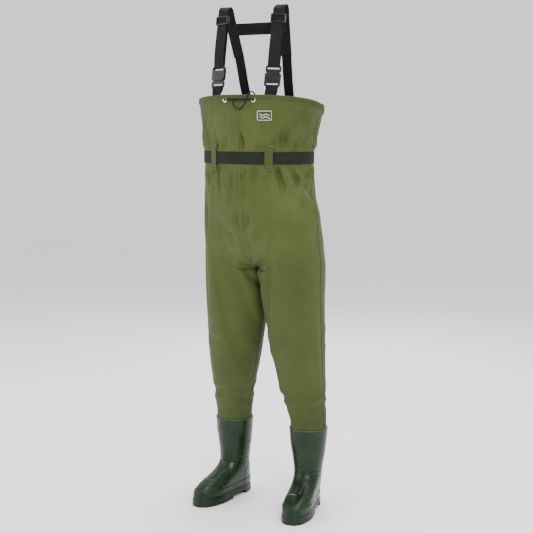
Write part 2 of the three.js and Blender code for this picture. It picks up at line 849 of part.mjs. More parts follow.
// A loop of webbing from the strip's end round a bar whose middle is at barX.
function beltEndLoop(side, barX) {
  const strip = (column) =>
    facetPoint(side, 1, column, beltZ, beltGap + beltThickness + clearance).toArray().slice(0, 2);
  const end = backColumnAt(beltEndX);
  const [startX, startY] = strip(end);
  const points = [strip(end + 0.25), [startX, startY], [barX + side * 12, beltBuckleY - loopRadius]];
  for (let k = 0; k <= 6; k += 1) {
    const angle = (Math.PI * k) / 6;
    const [x, y] = [Math.sin(angle), -Math.cos(angle)].map((c) => c * loopRadius);
    points.push([barX - side * x, beltBuckleY + y]);
  }
  points.push([barX + side * 10, beltBuckleY + loopRadius]);
  points.push([startX - side * 8, startY + beltThickness + webThickness + 2]);
  const stations = points.map(([x, y]) => ({ at: vec(x, y, beltZ), across: vec(0, 0, 1) }));
  return webbing(stations, beltWidth - 0.4, webThickness);
}

const strip = bodyPatch(beltPlaces(), [beltLow, beltZ, beltHigh], beltGap, beltThickness);
const beltLoops = [
  beltEndLoop(1, beltBuckle.at.x + plugBar),
  beltEndLoop(-1, beltBuckle.at.x + housingBar),
];
add("waist_belt", joinAndCut([strip, ...beltLoops], []), blackWeb);
addBuckle("belt", beltBuckle);

// A belt loop is sewn down at both ends and stands off over the belt.
function beltLoop(side, face, column) {
  const seat = clearance + beltLoopThickness / 2;
  const over = beltGap + beltThickness + clearance + 0.5 + beltLoopThickness / 2;
  const half = beltLoopHeight / 2;
  const profile = [
    [-half, seat],
    [-half + 14, seat],
    [-beltWidth / 2 - 1, over],
    [0, over],
    [beltWidth / 2 + 1, over],
    [half - 14, seat],
    [half, seat],
  ];
  const stations = profile.map(([rise, out]) => {
    const frame = facetFrame(side, face, column, beltZ + rise, out);
    return { at: frame.at, across: frame.across };
  });
  return webbing(stations, beltLoopWidth, beltLoopThickness);
}
for (const { word, side } of sides) {
  add("front_" + word + "_belt_loop", beltLoop(side, -1, frontLoopColumn), oliveTrim);
  add("back_" + word + "_belt_loop", beltLoop(side, 1, backLoopColumn), oliveTrim);
}

// ---------- Boots ----------

const bootAt = smoothTable(bootSections);

const archPinch = 0.1; // how much narrower the sole's waist is
const shaftHalf = 70; // half lengths, between which an outline passes from a shaft's to a foot's
const soleHalf = 130;

// A level outline of the boot, grown by a margin. The waist of the foot is a little narrower.
function footRing(z, sectionZ, margin, count = ringPoints) {
  const [heel, toe, heelHalf, ballHalf, exponent] = bootAt(sectionZ);
  const middle = (heel + toe) / 2;
  const half = (heel - toe) / 2 + margin;
  const power = (value) => Math.sign(value) * Math.abs(value) ** exponent;
  const points = [];
  for (let k = 0; k < count; k += 1) {
    const angle = (2 * Math.PI * k) / count;
    const along = power(Math.cos(angle));
    const share = THREE.MathUtils.smoothstep(along, -0.6, 0.6);
    const footLike = THREE.MathUtils.clamp((half - shaftHalf) / (soleHalf - shaftHalf), 0, 1);
    const arch = archPinch * footLike * Math.exp(-(((along + 0.1) / 0.3) ** 2));
    const width = mix(heelHalf, ballHalf, share) * (1 - arch) + margin;
    points.push(vec(width * power(Math.sin(angle)), middle - half * along, z));
  }
  return points;
}

const soleTop = soleThickness + clearance;
const floorThickness = 4;
const insideBottom = soleTop + floorThickness;

// The section heights, with one more between each two of the foot's own.
function bootHeights() {
  const heights = bootSections.map(([z]) => z);
  const ankleZ = 140;
  const between = heights.slice(1).map((z, i) => (z + heights[i]) / 2);
  return [...heights, ...between.filter((z) => z < ankleZ)].sort((a, b) => a - b);
}

function bootUpper() {
  const outer = bootHeights().map((z) => footRing(z, z, 0));
  const raised = (z) => Math.min(z + bootWall, bootTopZ);
  const insideHeights = [insideBottom, ...bootHeights().filter((z) => z > insideBottom + 3)];
  const inner = insideHeights.map((z) => footRing(z, raised(z), -bootWall));
  return loft([...outer, ...inner.toReversed()]);
}

function outsole() {
  const plan = footRing(0, soleTop, welt, 40).map((p) => [p.x, p.y]);
  const block = plate(plan, 0, soleThickness);
  const heelFront = 12; // the arch runs from here to the tread
  const heelBack = 70;
  const treadStart = -58;
  const archHeight = 12;
  const lugGap = 5;
  const lugPitch = 17;
  const toeEnd = -215;
  const cuts = [];
  const wide = bandOf(120);
  cuts.push(box(wide, [treadStart, heelFront], [-1, archHeight]));
  for (let y = treadStart - lugPitch; y > toeEnd; y -= lugPitch) {
    cuts.push(box(wide, [y, y + lugGap], [-1, treadDepth]));
  }
  for (let y = heelFront + lugPitch; y < heelBack; y += lugPitch) {
    cuts.push(box(wide, [y, y + lugGap], [-1, treadDepth]));
  }
  return joinAndCut([block], cuts);
}

function insole() {
  const low = insideBottom + clearance;
  const margin = -bootWall - 3 * clearance - 1;
  const rings = [low, low + insoleThickness].map((z) => footRing(z, low + bootWall, margin));
  return loft(rings);
}

for (const { word, side } of sides) {
  const foot = new THREE.Group();
  foot.position.set(side * shaftX, shaftY, 0);
  foot.rotation.z = side * radians(toeOut);
  waders.add(foot);
  add(word + "_boot", bootUpper(), bootGreen, foot);
  add(word + "_outsole", outsole(), soleGreen, foot);
  add(word + "_insole", insole(), felt, foot);
}

// ---------- Suspenders ----------

const strapFootX = 101;
const strapFootDrop = 5; // below the hem
const strapTurn = 10; // degrees that the front straps face outward
const shoulderFront = vec(100, -64, 1612); // where the straight front strap ends
const hemLean = (webWidth / 2) * Math.sin(Math.PI / (3 * columns));
const hemInset = facingInset + tunnelDepth + facingWall + clearance + webThickness / 2 + hemLean;
const layerGap = webThickness + clearance; // between the middles of two layers of webbing

// The front strap's straight line: its foot at the hem, up along it, and outward from it.
function strapFrame(side) {
  const footZ = frontHemZ - strapFootDrop;
  const t = columnAt(strapFootX, footZ) / columns;
  const normal = bodyNormal(1, -1, t, footZ);
  const facet = {
    at: bodyPoint(1, -1, t, footZ).addScaledVector(normal, -hemInset),
    across: vec(-normal.y, normal.x, 0).normalize(),
    outward: normal,
  };
  facet.up = normal.clone().cross(facet.across);
  const at = facet.at.clone();
  const up = shoulderFront.clone().sub(at).normalize();
  const across = vec(Math.cos(radians(strapTurn)), Math.sin(radians(strapTurn)), 0);
  across.addScaledVector(up, -across.dot(up)).normalize();
  const outward = across.clone().cross(up);
  for (const v of [at, up, across, outward, facet.at, facet.up, facet.across, facet.outward]) {
    v.x *= side;
  }
  return { at, up, across, outward, facet };
}

const placeIn = (frame, up, out) =>
  frame.at.clone().addScaledVector(frame.up, up).addScaledVector(frame.outward, out);

// Stations at [up, outward] pairs of a frame.
function stationsIn(frame, pairs) {
  return pairs.map(([up, out]) => ({ at: placeIn(frame, up, out), across: frame.across }));
}

// Pairs round a bar, from in front of it to behind it. way is 1 when the webbing goes over
// the bar's upper side and -1 when it goes under.
function roundBar(up, out, radius, way, steps = 6) {
  const pairs = [];
  for (let k = 0; k <= steps; k += 1) {
    const angle = (Math.PI * k) / steps;
    pairs.push([up + way * radius * Math.sin(angle), out + radius * Math.cos(angle)]);
  }
  return pairs;
}

const lowerBuckleStart = 30; // from the strap's foot to the buckle
const buckleSpan = housingLength + plugLength;
const lowerBar = lowerBuckleStart + barSize / 2;
const upperBar = lowerBuckleStart + buckleSpan - barSize / 2;
const tabDepth = 30; // how far the tab reaches down inside the hem

function frontTab(frame) {
  const behind = roundBar(lowerBar, -loopRadius, loopRadius, 1);
  const stations = [
    ...stationsIn(frame.facet, [[-tabDepth, 0], [4, 0]]),
    ...stationsIn(frame, [[lowerBar - 8, 0], ...behind, [lowerBar - 8, -2 * loopRadius]]),
    ...stationsIn(frame.facet, [[4, -layerGap - 0.4], [-tabDepth, -layerGap - 0.4]]),
  ];
  return webbing(stations, webWidth, webThickness);
}

const sliderLength = 27;
const sliderEndBar = 4;
const sliderDepth = 3;
const sliderWidth = webWidth + 9;
const sliderBar = [4, 2.4]; // the centre bar's length and thickness
const sliderBelowTop = 26; // from the top of the straight strap to the slider's middle
const wrapRadius = Math.hypot(...sliderBar) / 2 + clearance + webThickness / 2;
const wrapFront = -layerGap - clearance; // the wrapped end, behind the strap
const wrapMiddle = wrapFront - wrapRadius;

// The slider's own frame: X across, Y up the strap, Z outward, with the strap at Z = 0.
function slider() {
  const strapFace = webThickness / 2 + clearance;
  const back = wrapMiddle - sliderBar[1] / 2;
  const half = sliderLength / 2;
  const parts = [];
  for (const way of [-1, 1]) {
    const rail = [way * slotHalf, (way * sliderWidth) / 2].sort((a, b) => a - b);
    parts.push(box(rail, bandOf(half), [back, strapFace + sliderDepth]));
    const bar = [way * (half - sliderEndBar), way * half].sort((a, b) => a - b);
    parts.push(box(bandOf(slotHalf + 1), bar, [strapFace, strapFace + sliderDepth]));
  }
  const centre = [wrapMiddle - sliderBar[1] / 2, wrapMiddle + sliderBar[1] / 2];
  parts.push(box(bandOf(slotHalf + 1), bandOf(sliderBar[0] / 2), centre));
  return joinAndCut(parts, []);
}

// The doubled loop: down in front to the upper bar, round it, and up behind to the slider,
// where the end is wrapped round the centre bar and sewn.
function frontLoop(frame, strapLength, sliderUp) {
  const pairs = [
    [strapLength - 0.4, 0],
    [sliderUp, 0],
    [upperBar + 12, 0],
    ...roundBar(upperBar, -loopRadius, loopRadius, -1),
    [upperBar + 12, -2 * loopRadius],
    [sliderUp - 14, wrapMiddle - wrapRadius],
    ...roundBar(sliderUp, wrapMiddle, wrapRadius, 1).toReversed(),
    [sliderUp - 8, wrapFront - 0.2],
    [sliderUp - 24, wrapFront - 0.8],
  ];
  return webbing(stationsIn(frame, pairs), webWidth, webThickness);
}

// Over the shoulder and down to the elastic, for the wearer's left.
const shoulderLine = [
  vec(100, -57, 1623),
  vec(100, -46, 1629),
  vec(99.5, -36, 1623),
  vec(97, -27, 1595),
  vec(86, 10.6, 1476),
];
const [backTop, backEnd] = shoulderLine.slice(-2);
const backDown = backEnd.clone().sub(backTop).normalize();
const backOut = vec(1, 0, 0).cross(backDown).normalize().negate();
const elasticOverlap = 24;
const elasticLine = [vec(80, 38, 1375), vec(74, 72, 1285), vec(71, 96, 1242), vec(70, 98, 1210)];

function mirrored(points, side) {
  const across = vec(side, 0, 0);
  return points.map((p) => ({ at: vec(side * p.x, p.y, p.z), across }));
}

for (const { word, side } of sides) {
  const frame = strapFrame(side);
  const strapLength = shoulderFront.distanceTo(strapFrame(1).at);
  const sliderUp = strapLength - sliderBelowTop;
  add(word + "_front_tab", frontTab(frame), blackWeb);

  // On the wearer's left the housing is below and the plug pulls up; on the right it is the
  // other way round.
  const mouth = lowerBuckleStart + (side > 0 ? housingLength : plugLength);
  const buckle = {
    at: placeIn(frame, mouth, -loopRadius),
    up: frame.up,
    outward: frame.outward,
  };
  addBuckle(word, buckle, side);
  add(word + "_front_loop", frontLoop(frame, strapLength, sliderUp), blackWeb);

  const basis = new THREE.Matrix4().makeBasis(
    frame.up.clone().cross(frame.outward),
    frame.up,
    frame.outward,
  );
  const sliderAt = placeIn(frame, sliderUp, 0);
  const placed = slider().applyMatrix4(basis).translate(sliderAt.x, sliderAt.y, sliderAt.z);
  add(word + "_slider", placed, blackPlastic);

  const straight = stationsIn(frame, [[strapLength, 0], [strapLength + 4, 0]]);
  const over = [...straight, ...mirrored(shoulderLine, side)];
  add(word + "_shoulder_strap", webbing(over, webWidth, webThickness), blackWeb);

  const inward = backOut.clone().multiplyScalar(-layerGap);
  const sewn = [elasticOverlap, 0].map((up) =>
    backEnd.clone().addScaledVector(backDown, -up).add(inward),
  );
  const elastic = mirrored([...sewn, ...elasticLine], side);
  add(word + "_back_elastic", webbing(elastic, elasticWidth, webThickness), blackWeb);
}

// The cross strap is sewn on the back of both shoulder straps.
const crossZ = 1562;
const crossHalf = 104;
const crossAt = backTop
  .clone()
  .lerp(backEnd, (crossZ - backTop.z) / (backEnd.z - backTop.z))
  .addScaledVector(backOut, layerGap);
const crossStations = [-crossHalf, 0, crossHalf].map((x) => ({
  at: crossAt.clone().setX(x),
  across: backDown.clone().setX(0).normalize(),
}));
add("cross_strap", webbing(crossStations, webWidth, webThickness), blackWeb);

export default waders;
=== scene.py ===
import json
import math

import bmesh
import bpy
import numpy as np
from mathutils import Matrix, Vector, noise
from mathutils.bvhtree import BVHTree

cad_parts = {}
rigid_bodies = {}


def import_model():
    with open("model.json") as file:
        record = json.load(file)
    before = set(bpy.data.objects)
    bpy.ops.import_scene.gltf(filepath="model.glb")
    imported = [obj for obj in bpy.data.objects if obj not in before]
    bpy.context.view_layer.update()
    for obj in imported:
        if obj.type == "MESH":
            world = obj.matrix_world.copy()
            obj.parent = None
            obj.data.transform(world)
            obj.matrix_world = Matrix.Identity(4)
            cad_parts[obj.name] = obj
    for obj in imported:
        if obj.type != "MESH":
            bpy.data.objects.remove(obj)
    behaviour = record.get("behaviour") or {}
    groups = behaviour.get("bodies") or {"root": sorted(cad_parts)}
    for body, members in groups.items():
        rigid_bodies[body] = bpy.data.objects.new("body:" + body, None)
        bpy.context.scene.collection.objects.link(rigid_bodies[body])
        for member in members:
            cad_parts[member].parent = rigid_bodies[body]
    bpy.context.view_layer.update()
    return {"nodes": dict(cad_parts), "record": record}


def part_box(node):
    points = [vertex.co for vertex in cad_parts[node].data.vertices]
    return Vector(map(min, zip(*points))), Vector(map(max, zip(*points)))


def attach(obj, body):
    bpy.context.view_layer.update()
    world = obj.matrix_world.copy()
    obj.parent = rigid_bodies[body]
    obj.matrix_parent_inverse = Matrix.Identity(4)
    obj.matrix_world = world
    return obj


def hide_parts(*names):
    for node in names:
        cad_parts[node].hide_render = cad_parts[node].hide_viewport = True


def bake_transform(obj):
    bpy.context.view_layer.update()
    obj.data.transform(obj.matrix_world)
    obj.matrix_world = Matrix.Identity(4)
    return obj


# Chest waders: coated fabric bib and legs with welded boots, a waist belt and suspenders.
# Metres, +Z up. The wearer faces -Y and the wearer's left is +X.

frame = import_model()
nodes = frame["nodes"]


# ---------- Camera ----------

CAMERA_TURN = math.radians(29)
CAMERA_PITCH = math.radians(-7.6)
CAMERA_DISTANCE = 3.6
CAMERA_HEIGHT = 1.28
CAMERA_CENTRE_Y = 0.028
LENS = 74.7


def make_camera():
    data = bpy.data.cameras.new("camera")
    data.lens = LENS
    camera = bpy.data.objects.new("camera", data)
    bpy.context.scene.collection.objects.link(camera)
    back = Vector((math.sin(CAMERA_TURN), -math.cos(CAMERA_TURN), 0)) * CAMERA_DISTANCE
    camera.location = back + Vector((0, CAMERA_CENTRE_Y, CAMERA_HEIGHT))
    camera.rotation_euler = (math.pi / 2 + CAMERA_PITCH, 0, CAMERA_TURN)
    bpy.context.scene.camera = camera


make_camera()


# ---------- The fabric's surface, as the CAD model's panels follow it ----------

SET_FORWARD = 0.009
CROTCH_Z, RISE_TOP_Z = 0.810, 0.955
TORSO = (  # height, half width, half depth, middle of the depth
    (CROTCH_Z, 0.212, 0.130, 0.035),
    (0.870, 0.210, 0.140, 0.025),
    (0.970, 0.214, 0.146, 0.007),
    (1.080, 0.190, 0.130, -0.008),
    (1.160, 0.186, 0.127, -0.016),
    (1.230, 0.196, 0.133, -0.009),
    (1.353, 0.219, 0.151, 0.008),
)
LEG_END_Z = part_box("front_left_panel")[0].z
BOOT_TOP_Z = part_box("left_boot")[1].z
LEG = (  # height, centre X, half width, centre Y, half depth
    (LEG_END_Z, 0.1415, 0.0596, 0.068, 0.0596),
    (BOOT_TOP_Z + 0.013, 0.1415, 0.0596, 0.068, 0.0596),
    (0.325, 0.1385, 0.064, 0.063, 0.064),
    (0.420, 0.1285, 0.0765, 0.048, 0.078),
    (0.580, 0.114, 0.093, 0.035, 0.101),
    (0.740, 0.107, 0.103, 0.035, 0.120),
    (CROTCH_Z, 0.106, 0.106, 0.037, 0.126),
    (0.940, 0.106, 0.106, 0.030, 0.136),
)
FRONT_HEM_Z, SIDE_HEM_Z, BACK_HEM_Z = 1.353, 1.325, 1.226
BELT_LOW, BELT_HIGH = 1.141, 1.179
BELT_Z = (BELT_LOW + BELT_HIGH) / 2
FABRIC = 0.0014
WELD = 2e-5  # points of a CAD mesh nearer than this are one point


def smooth_table(rows):
    """A smooth curve through the rows of a table whose first column is the height."""
    rows = np.array(rows)
    heights, values = rows[:, 0], rows[:, 1:]
    steps = np.diff(heights)[:, None]
    secant = np.diff(values, axis=0) / steps
    before, after = secant[:-1], secant[1:]
    same_way = before * after > 0
    total = np.where(same_way, before + after, 1)
    inner = np.where(same_way, 2 * before * after / total, 0)
    slope = np.vstack([secant[:1], inner, secant[-1:]])

    def at(z):
        z = np.asarray(z, float)
        i = np.clip(np.searchsorted(heights, z) - 1, 0, len(heights) - 2)
        step = steps[i, 0]
        t = np.clip((z - heights[i]) / step, 0, 1)
        basis = (
            2 * t**3 - 3 * t**2 + 1,
            3 * t**2 - 2 * t**3,
            (t**3 - 2 * t**2 + t) * step,
            (t**3 - t**2) * step,
        )
        parts = (values[i], values[i + 1], slope[i], slope[i + 1])
        return np.moveaxis(sum(b[..., None] * p for b, p in zip(basis, parts)), -1, 0)

    return at


def smoothstep(x, low, high):
    x = np.clip((np.asarray(x, float) - low) / (high - low), 0, 1)
    return x * x * (3 - 2 * x)


torso_at = smooth_table(TORSO)
leg_at = smooth_table(LEG)


def leg_share(t, z):
    """0 on the trunk and 1 on a leg, with a quarter round between them at the inner seam."""
    up = np.clip((z - CROTCH_Z) / (RISE_TOP_Z - CROTCH_Z), 0, 1)
    quarter_round = 1 - np.sqrt(1 - (1 - up) ** 2)
    gentle = 1 - smoothstep(up, 0, 1)
    return quarter_round + (gentle - quarter_round) * smoothstep(t, 0, 0.5)


def body_point(side, face, t, z):
    """A point of the outer face: t runs from the inner seam, at 0, to the side seam, at 1."""
    t, z = np.broadcast_arrays(np.asarray(t, float), np.asarray(z, float))
    share = leg_share(t, z)
    half_width, half_depth, middle = torso_at(np.maximum(z, CROTCH_Z))
    leg_x, leg_width, leg_y, leg_depth = leg_at(z)
    turn, turn_leg = math.pi / 2 * t, math.pi * (1 - t)
    on_leg = z < CROTCH_Z
    centre = np.where(on_leg, leg_x, half_width / 2)
    radius = np.where(on_leg, leg_width, half_width / 2)
    x = half_width * np.sin(turn) * (1 - share) + (centre + radius * np.cos(turn_leg)) * share
    y_trunk = middle + face * half_depth * np.cos(turn)
    y_leg = leg_y + face * leg_depth * np.sin(turn_leg)
    y = y_trunk * (1 - share) + y_leg * share - SET_FORWARD
    return np.stack([side * x, y, z], axis=-1)


def hem_height(face, t):
    if face < 0:
        return FRONT_HEM_Z + (SIDE_HEM_Z - FRONT_HEM_Z) * np.asarray(t) ** 2.4
    return BACK_HEM_Z + (SIDE_HEM_Z - BACK_HEM_Z) * smoothstep(t, 0.05, 1)


# ---------- Mesh helpers ----------

def new_object(name, points, faces, material, smooth=True):
    mesh = bpy.data.meshes.new(name)
    mesh.from_pydata([tuple(p) for p in points], [], [tuple(f) for f in faces])
    mesh.validate()
    piece = bpy.data.objects.new(name, mesh)
    bpy.context.scene.collection.objects.link(piece)
    if material:
        mesh.materials.append(material)
    mesh.polygons.foreach_set("use_smooth", [smooth] * len(mesh.polygons))
    return piece


def smooth_faces(piece):
    piece.data.polygons.foreach_set("use_smooth", [True] * len(piece.data.polygons))


def edit_mesh(piece):
    work = bmesh.new()
    work.from_mesh(piece.data)
    return work


def keep_edit(work, piece):
    work.to_mesh(piece.data)
    work.free()


def everything(work):
    return work.verts[:] + work.edges[:] + work.faces[:]


def face_outward(piece):
    work = edit_mesh(piece)
    bmesh.ops.recalc_face_normals(work, faces=work.faces)
    keep_edit(work, piece)


def tube_faces(rings, count, base=0, flip=False):
    """Faces between rings of count points each, with a cap on either end."""
    faces = []
    for r in range(base, base + (rings - 1) * count, count):
        for k in range(count):
            n = (k + 1) % count
            faces.append((r + k, r + n, r + count + n, r + count + k))
    first = range(base, base + count)
    last = range(base + (rings - 1) * count, base + rings * count)
    if flip:
        return faces + [tuple(reversed(first)), tuple(last)]
    return faces + [tuple(first), tuple(reversed(last))]


def grid_faces(rows, columns):
    """Faces of a grid whose points are numbered row by row."""
    faces = []
    for r in range(rows - 1):
        for c in range(columns - 1):
            a = r * columns + c
            faces.append((a, a + 1, a + columns + 1, a + columns))
    return faces


def lengths_along(points):
    gaps = np.linalg.norm(np.diff(points, axis=0), axis=1)
    return np.concatenate([[0], np.cumsum(gaps)])


def apply_modifiers(piece):
    """Bakes a piece's modifiers into its mesh."""
    evaluated = piece.evaluated_get(bpy.context.evaluated_depsgraph_get())
    mesh = bpy.data.meshes.new_from_object(evaluated)
    piece.modifiers.clear()
    old, piece.data = piece.data, mesh
    mesh.name = old.name
    bpy.data.meshes.remove(old)


def thicken(piece, thickness, offset):
    thick = piece.modifiers.new("thickness", "SOLIDIFY")
    thick.thickness = thickness
    thick.offset = offset
    apply_modifiers(piece)


def coordinates(mesh):
    co = np.zeros(len(mesh.vertices) * 3)
    mesh.vertices.foreach_get("co", co)
    return co.reshape(-1, 3)


def set_coordinates(mesh, co):
    mesh.vertices.foreach_set("co", np.asarray(co, float).ravel())
    mesh.update()


def vertex_normals(mesh):
    normals = np.zeros(len(mesh.vertices) * 3)
    mesh.vertex_normals.foreach_get("vector", normals)
    return normals.reshape(-1, 3)


def unit(v):
    v = np.asarray(v, float)
    return v / np.maximum(np.linalg.norm(v, axis=-1, keepdims=True), 1e-12)


def set_attribute(piece, name, vectors):
    """Stores a vector per vertex, which a material reads by its name."""
    attribute = piece.data.attributes.new(name, "FLOAT_VECTOR", "POINT")
    attribute.data.foreach_set("vector", np.asarray(vectors, float).ravel())


SLOTS = {part["node"]: part["material_slot"] for part in frame["record"]["subparts"]}
BODIES = frame["record"]["behaviour"]["bodies"]
BODY_OF = {node: body for body, members in BODIES.items() for node in members}


def finished(piece, slot, *replaced, body="garment"):
    """Every piece says what it rides on and the CAD nodes it stands for; its finish, the slot, is not used.
    """
    if body:
        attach(piece, body)
    if replaced:
        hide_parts(*replaced)
    return piece


def stands_for(piece, node):
    """The piece takes a CAD node's body, and its place."""
    return finished(piece, SLOTS[node], node, body=BODY_OF[node])


# ---------- Materials ----------

def srgb(*values):
    linear = [v / 255 for v in values]
    linear = [v / 12.92 if v <= 0.04045 else ((v + 0.055) / 1.055) ** 2.4 for v in linear]
    return (*linear, 1)


class Look:
    """A Principled material with short ways to build its node pattern."""

    def __init__(self, name, roughness, metallic=0.0, specular=0.5, sheen=0.0, coat=0.0):
        self.material = bpy.data.materials.new(name)
        self.material.use_nodes = True
        self.tree = self.material.node_tree
        self.shader = self.tree.nodes["Principled BSDF"]
        self.shader.inputs["Roughness"].default_value = roughness
        self.shader.inputs["Metallic"].default_value = metallic
        self.shader.inputs["Specular IOR Level"].default_value = specular
        self.shader.inputs["Sheen Weight"].default_value = sheen
        self.shader.inputs["Coat Weight"].default_value = coat
        self.shader.inputs["Coat Roughness"].default_value = 0.25
        self.place = self.node("ShaderNodeTexCoord").outputs["Object"]
        self.bumps = None

    def node(self, kind, **settings):
        made = self.tree.nodes.new(kind)
        for key, value in settings.items():
            setattr(made, key, value)
        return made

    def link(self, source, target):
        self.tree.links.new(source, target)

    def attribute(self, name):
        return self.node("ShaderNodeAttribute", attribute_name=name).outputs["Vector"]

    def noise(self, scale, detail=4.0, stretch=(1, 1, 1), place=None):
        mapping = self.node("ShaderNodeMapping")
        mapping.inputs["Scale"].default_value = stretch
        self.link(place or self.place, mapping.inputs["Vector"])
        made = self.node("ShaderNodeTexNoise")
        made.inputs["Scale"].default_value = scale
        made.inputs["Detail"].default_value = detail
        self.link(mapping.outputs["Vector"], made.inputs["Vector"])
        return made.outputs["Fac"]

    def math(self, operation, a, b=None):
        made = self.node("ShaderNodeMath", operation=operation)
        for value, socket in zip((a, b), made.inputs):
            if value is None:
                continue
            if isinstance(value, (int, float)):
                socket.default_value = value
            else:
                self.link(value, socket)
        return made.outputs[0]

    def ramp(self, source, stops):
        made = self.node("ShaderNodeValToRGB")
        while len(made.color_ramp.elements) < len(stops):
            made.color_ramp.elements.new(0.5)
        for element, (position, color) in zip(made.color_ramp.elements, stops):
            element.position = position
            element.color = color
        self.link(source, made.inputs["Fac"])
        return made.outputs["Color"]

    def grey(self, source, stops):
        return self.ramp(source, [(p, (v, v, v, 1)) for p, v in stops])

    def mixed(self, factor, a, b, blend="MIX"):
        made = self.node("ShaderNodeMix", data_type="RGBA", blend_type=blend)
        sockets = (made.inputs["Factor"], made.inputs[6], made.inputs[7])
        for value, socket in zip((factor, a, b), sockets):
            if isinstance(value, (int, float, tuple)):
                socket.default_value = value
            else:
                self.link(value, socket)
        return made.outputs[2]

    def bump(self, height, distance, strength=1.0):
        made = self.node("ShaderNodeBump")
        made.inputs["Strength"].default_value = strength
        made.inputs["Distance"].default_value = distance
        self.link(height, made.inputs["Height"])
        if self.bumps:
            self.link(self.bumps, made.inputs["Normal"])
        self.bumps = made.outputs["Normal"]
        self.link(self.bumps, self.shader.inputs["Normal"])

    def color(self, source):
        self.link(source, self.shader.inputs["Base Color"])

    def rough(self, source, low, high):
        self.link(self.grey(source, [(0.3, low), (0.7, high)]), self.shader.inputs["Roughness"])

    def separate(self, vector):
        made = self.node("ShaderNodeSeparateXYZ")
        self.link(vector, made.inputs[0])
        return made.outputs


def wave(look, coordinate, pitch, phase=0.0):
    """A sine of a coordinate with one period each pitch."""
    angle = look.math("MULTIPLY", coordinate, 2 * math.pi / pitch)
    if phase:
        angle = look.math("ADD", angle, phase)
    return look.math("SINE", angle)


def fabric_look(name, shade, deep, light, painted_low_shade=(38, 44, 16)):
    """Coated polyester: a fine plain weave, faint mottling and creases that rub paler, with painted shade
    that darkens the colour lower down.
    """
    look = Look(name, 0.75, specular=0.2, sheen=0.05)
    look.shader.inputs["Sheen Roughness"].default_value = 0.5
    broad = look.noise(5.5, 5.0)
    mottled = look.ramp(broad, [(0.3, srgb(*deep)), (0.52, srgb(*shade)), (0.75, srgb(*light))])
    fine = look.noise(420, 3.0, (1, 1, 0.45))
    worn = look.mixed(look.grey(fine, [(0.35, 0.0), (0.7, 0.16)]), mottled, srgb(*light))
    # Painted shade: the colour darkens from the crotch down towards the boots.
    height = look.separate(look.place)[2]
    look.color(look.mixed(look.grey(height, [(0.30, 0.34), (0.85, 0.0)]), worn, srgb(*painted_low_shade)))
    look.rough(look.noise(60, 4.0), 0.62, 0.8)
    x, y, _ = look.separate(look.attribute("cloth"))
    warp = look.math("MULTIPLY", wave(look, x, 0.0016), wave(look, y, 0.0016))
    look.bump(warp, 0.00012, 0.5)
    look.bump(look.noise(24, 6.0), 0.0012, 0.35)
    look.bump(fine, 0.0002, 0.35)
    return look.material


def webbing_look(name, base, light, rib=0.0021, weft=0.0032):
    """Woven webbing: rows of floats across the band, with paler threads and some dust."""
    look = Look(name, 0.78, specular=0.12, sheen=0.02)
    across, along, _ = look.separate(look.attribute("weave"))
    ribs = wave(look, across, rib)
    floats = wave(look, look.math("ADD", along, look.math("MULTIPLY", across, 0.55)), weft)
    twill = look.math("MULTIPLY", ribs, floats)
    height = look.math("ADD", look.math("MULTIPLY", twill, 0.6), look.math("MULTIPLY", ribs, 0.25))
    thread = look.grey(look.math("ADD", look.math("MULTIPLY", height, 0.5), 0.5), [(0.2, 0), (0.9, 1)])
    threads = look.mixed(thread, srgb(*base), srgb(*light))
    dusty = look.noise(35, 5.0)
    look.color(look.mixed(look.grey(dusty, [(0.45, 0), (0.8, 0.35)]), threads, srgb(*light)))
    look.rough(look.noise(90, 3.0), 0.58, 0.8)
    look.bump(height, 0.00035, 0.9)
    look.bump(look.noise(900, 2.0), 0.0001, 0.4)
    return look.material


def plastic_look(name, base, light, roughness=0.36):
    """Moulded acetal: a fine spark-eroded grain, polished where it is handled."""
    look = Look(name, roughness, specular=0.35, coat=0.05)
    grain = look.noise(1500, 2.0)
    patches = look.noise(70, 4.0)
    look.color(look.mixed(look.grey(patches, [(0.4, 0), (0.75, 1)]), srgb(*base), srgb(*light)))
    look.rough(patches, roughness - 0.08, roughness + 0.1)
    look.bump(grain, 0.00006, 0.45)
    look.bump(look.noise(160, 3.0), 0.00015, 0.3)
    return look.material


# Painted highlight on the collar: a faint paler band round the boot's top.
HIGHLIGHT_BAND_Z, HIGHLIGHT_BAND_HALF = 0.264, 0.006  # a faint paler band round the boot's top


def boot_look(name, base, deep, light, roughness, rim=False):
    """Moulded PVC: slightly uneven gloss, faint flow marks and scuffs, and a pale rim and a paler band near
    the top that are painted highlight on the collar.
    """
    look = Look(name, roughness, specular=0.26, coat=0.06)
    cloudy = look.noise(14, 5.0)
    shade = look.ramp(cloudy, [(0.3, srgb(*deep)), (0.5, srgb(*base)), (0.78, srgb(*light))])
    scuffs = look.noise(95, 8.0, (1, 1, 0.25))
    shade = look.mixed(look.grey(scuffs, [(0.6, 0), (0.82, 0.35)]), shade, srgb(*light))
    if rim:
        height = look.separate(look.place)[2]
        # Painted highlight: a pale line along the collar's top edge.
        edge = look.math("GREATER_THAN", height, BOOT_TOP_Z - 0.0016)
        shade = look.mixed(look.math("MULTIPLY", edge, 0.45), shade, srgb(88, 104, 80))
        # Painted highlight: a faint paler band round the collar.
        off = look.math("ABSOLUTE", look.math("SUBTRACT", height, HIGHLIGHT_BAND_Z))
        highlight_band = look.math("LESS_THAN", off, HIGHLIGHT_BAND_HALF)
        shade = look.mixed(look.math("MULTIPLY", highlight_band, 0.18), shade, srgb(*light))
    look.color(shade)
    look.rough(look.noise(32, 5.0), roughness - 0.07, roughness + 0.12)
    look.bump(look.noise(420, 3.0), 0.00012, 0.5)
    look.bump(look.noise(26, 4.0), 0.0006, 0.35)
    return look.material


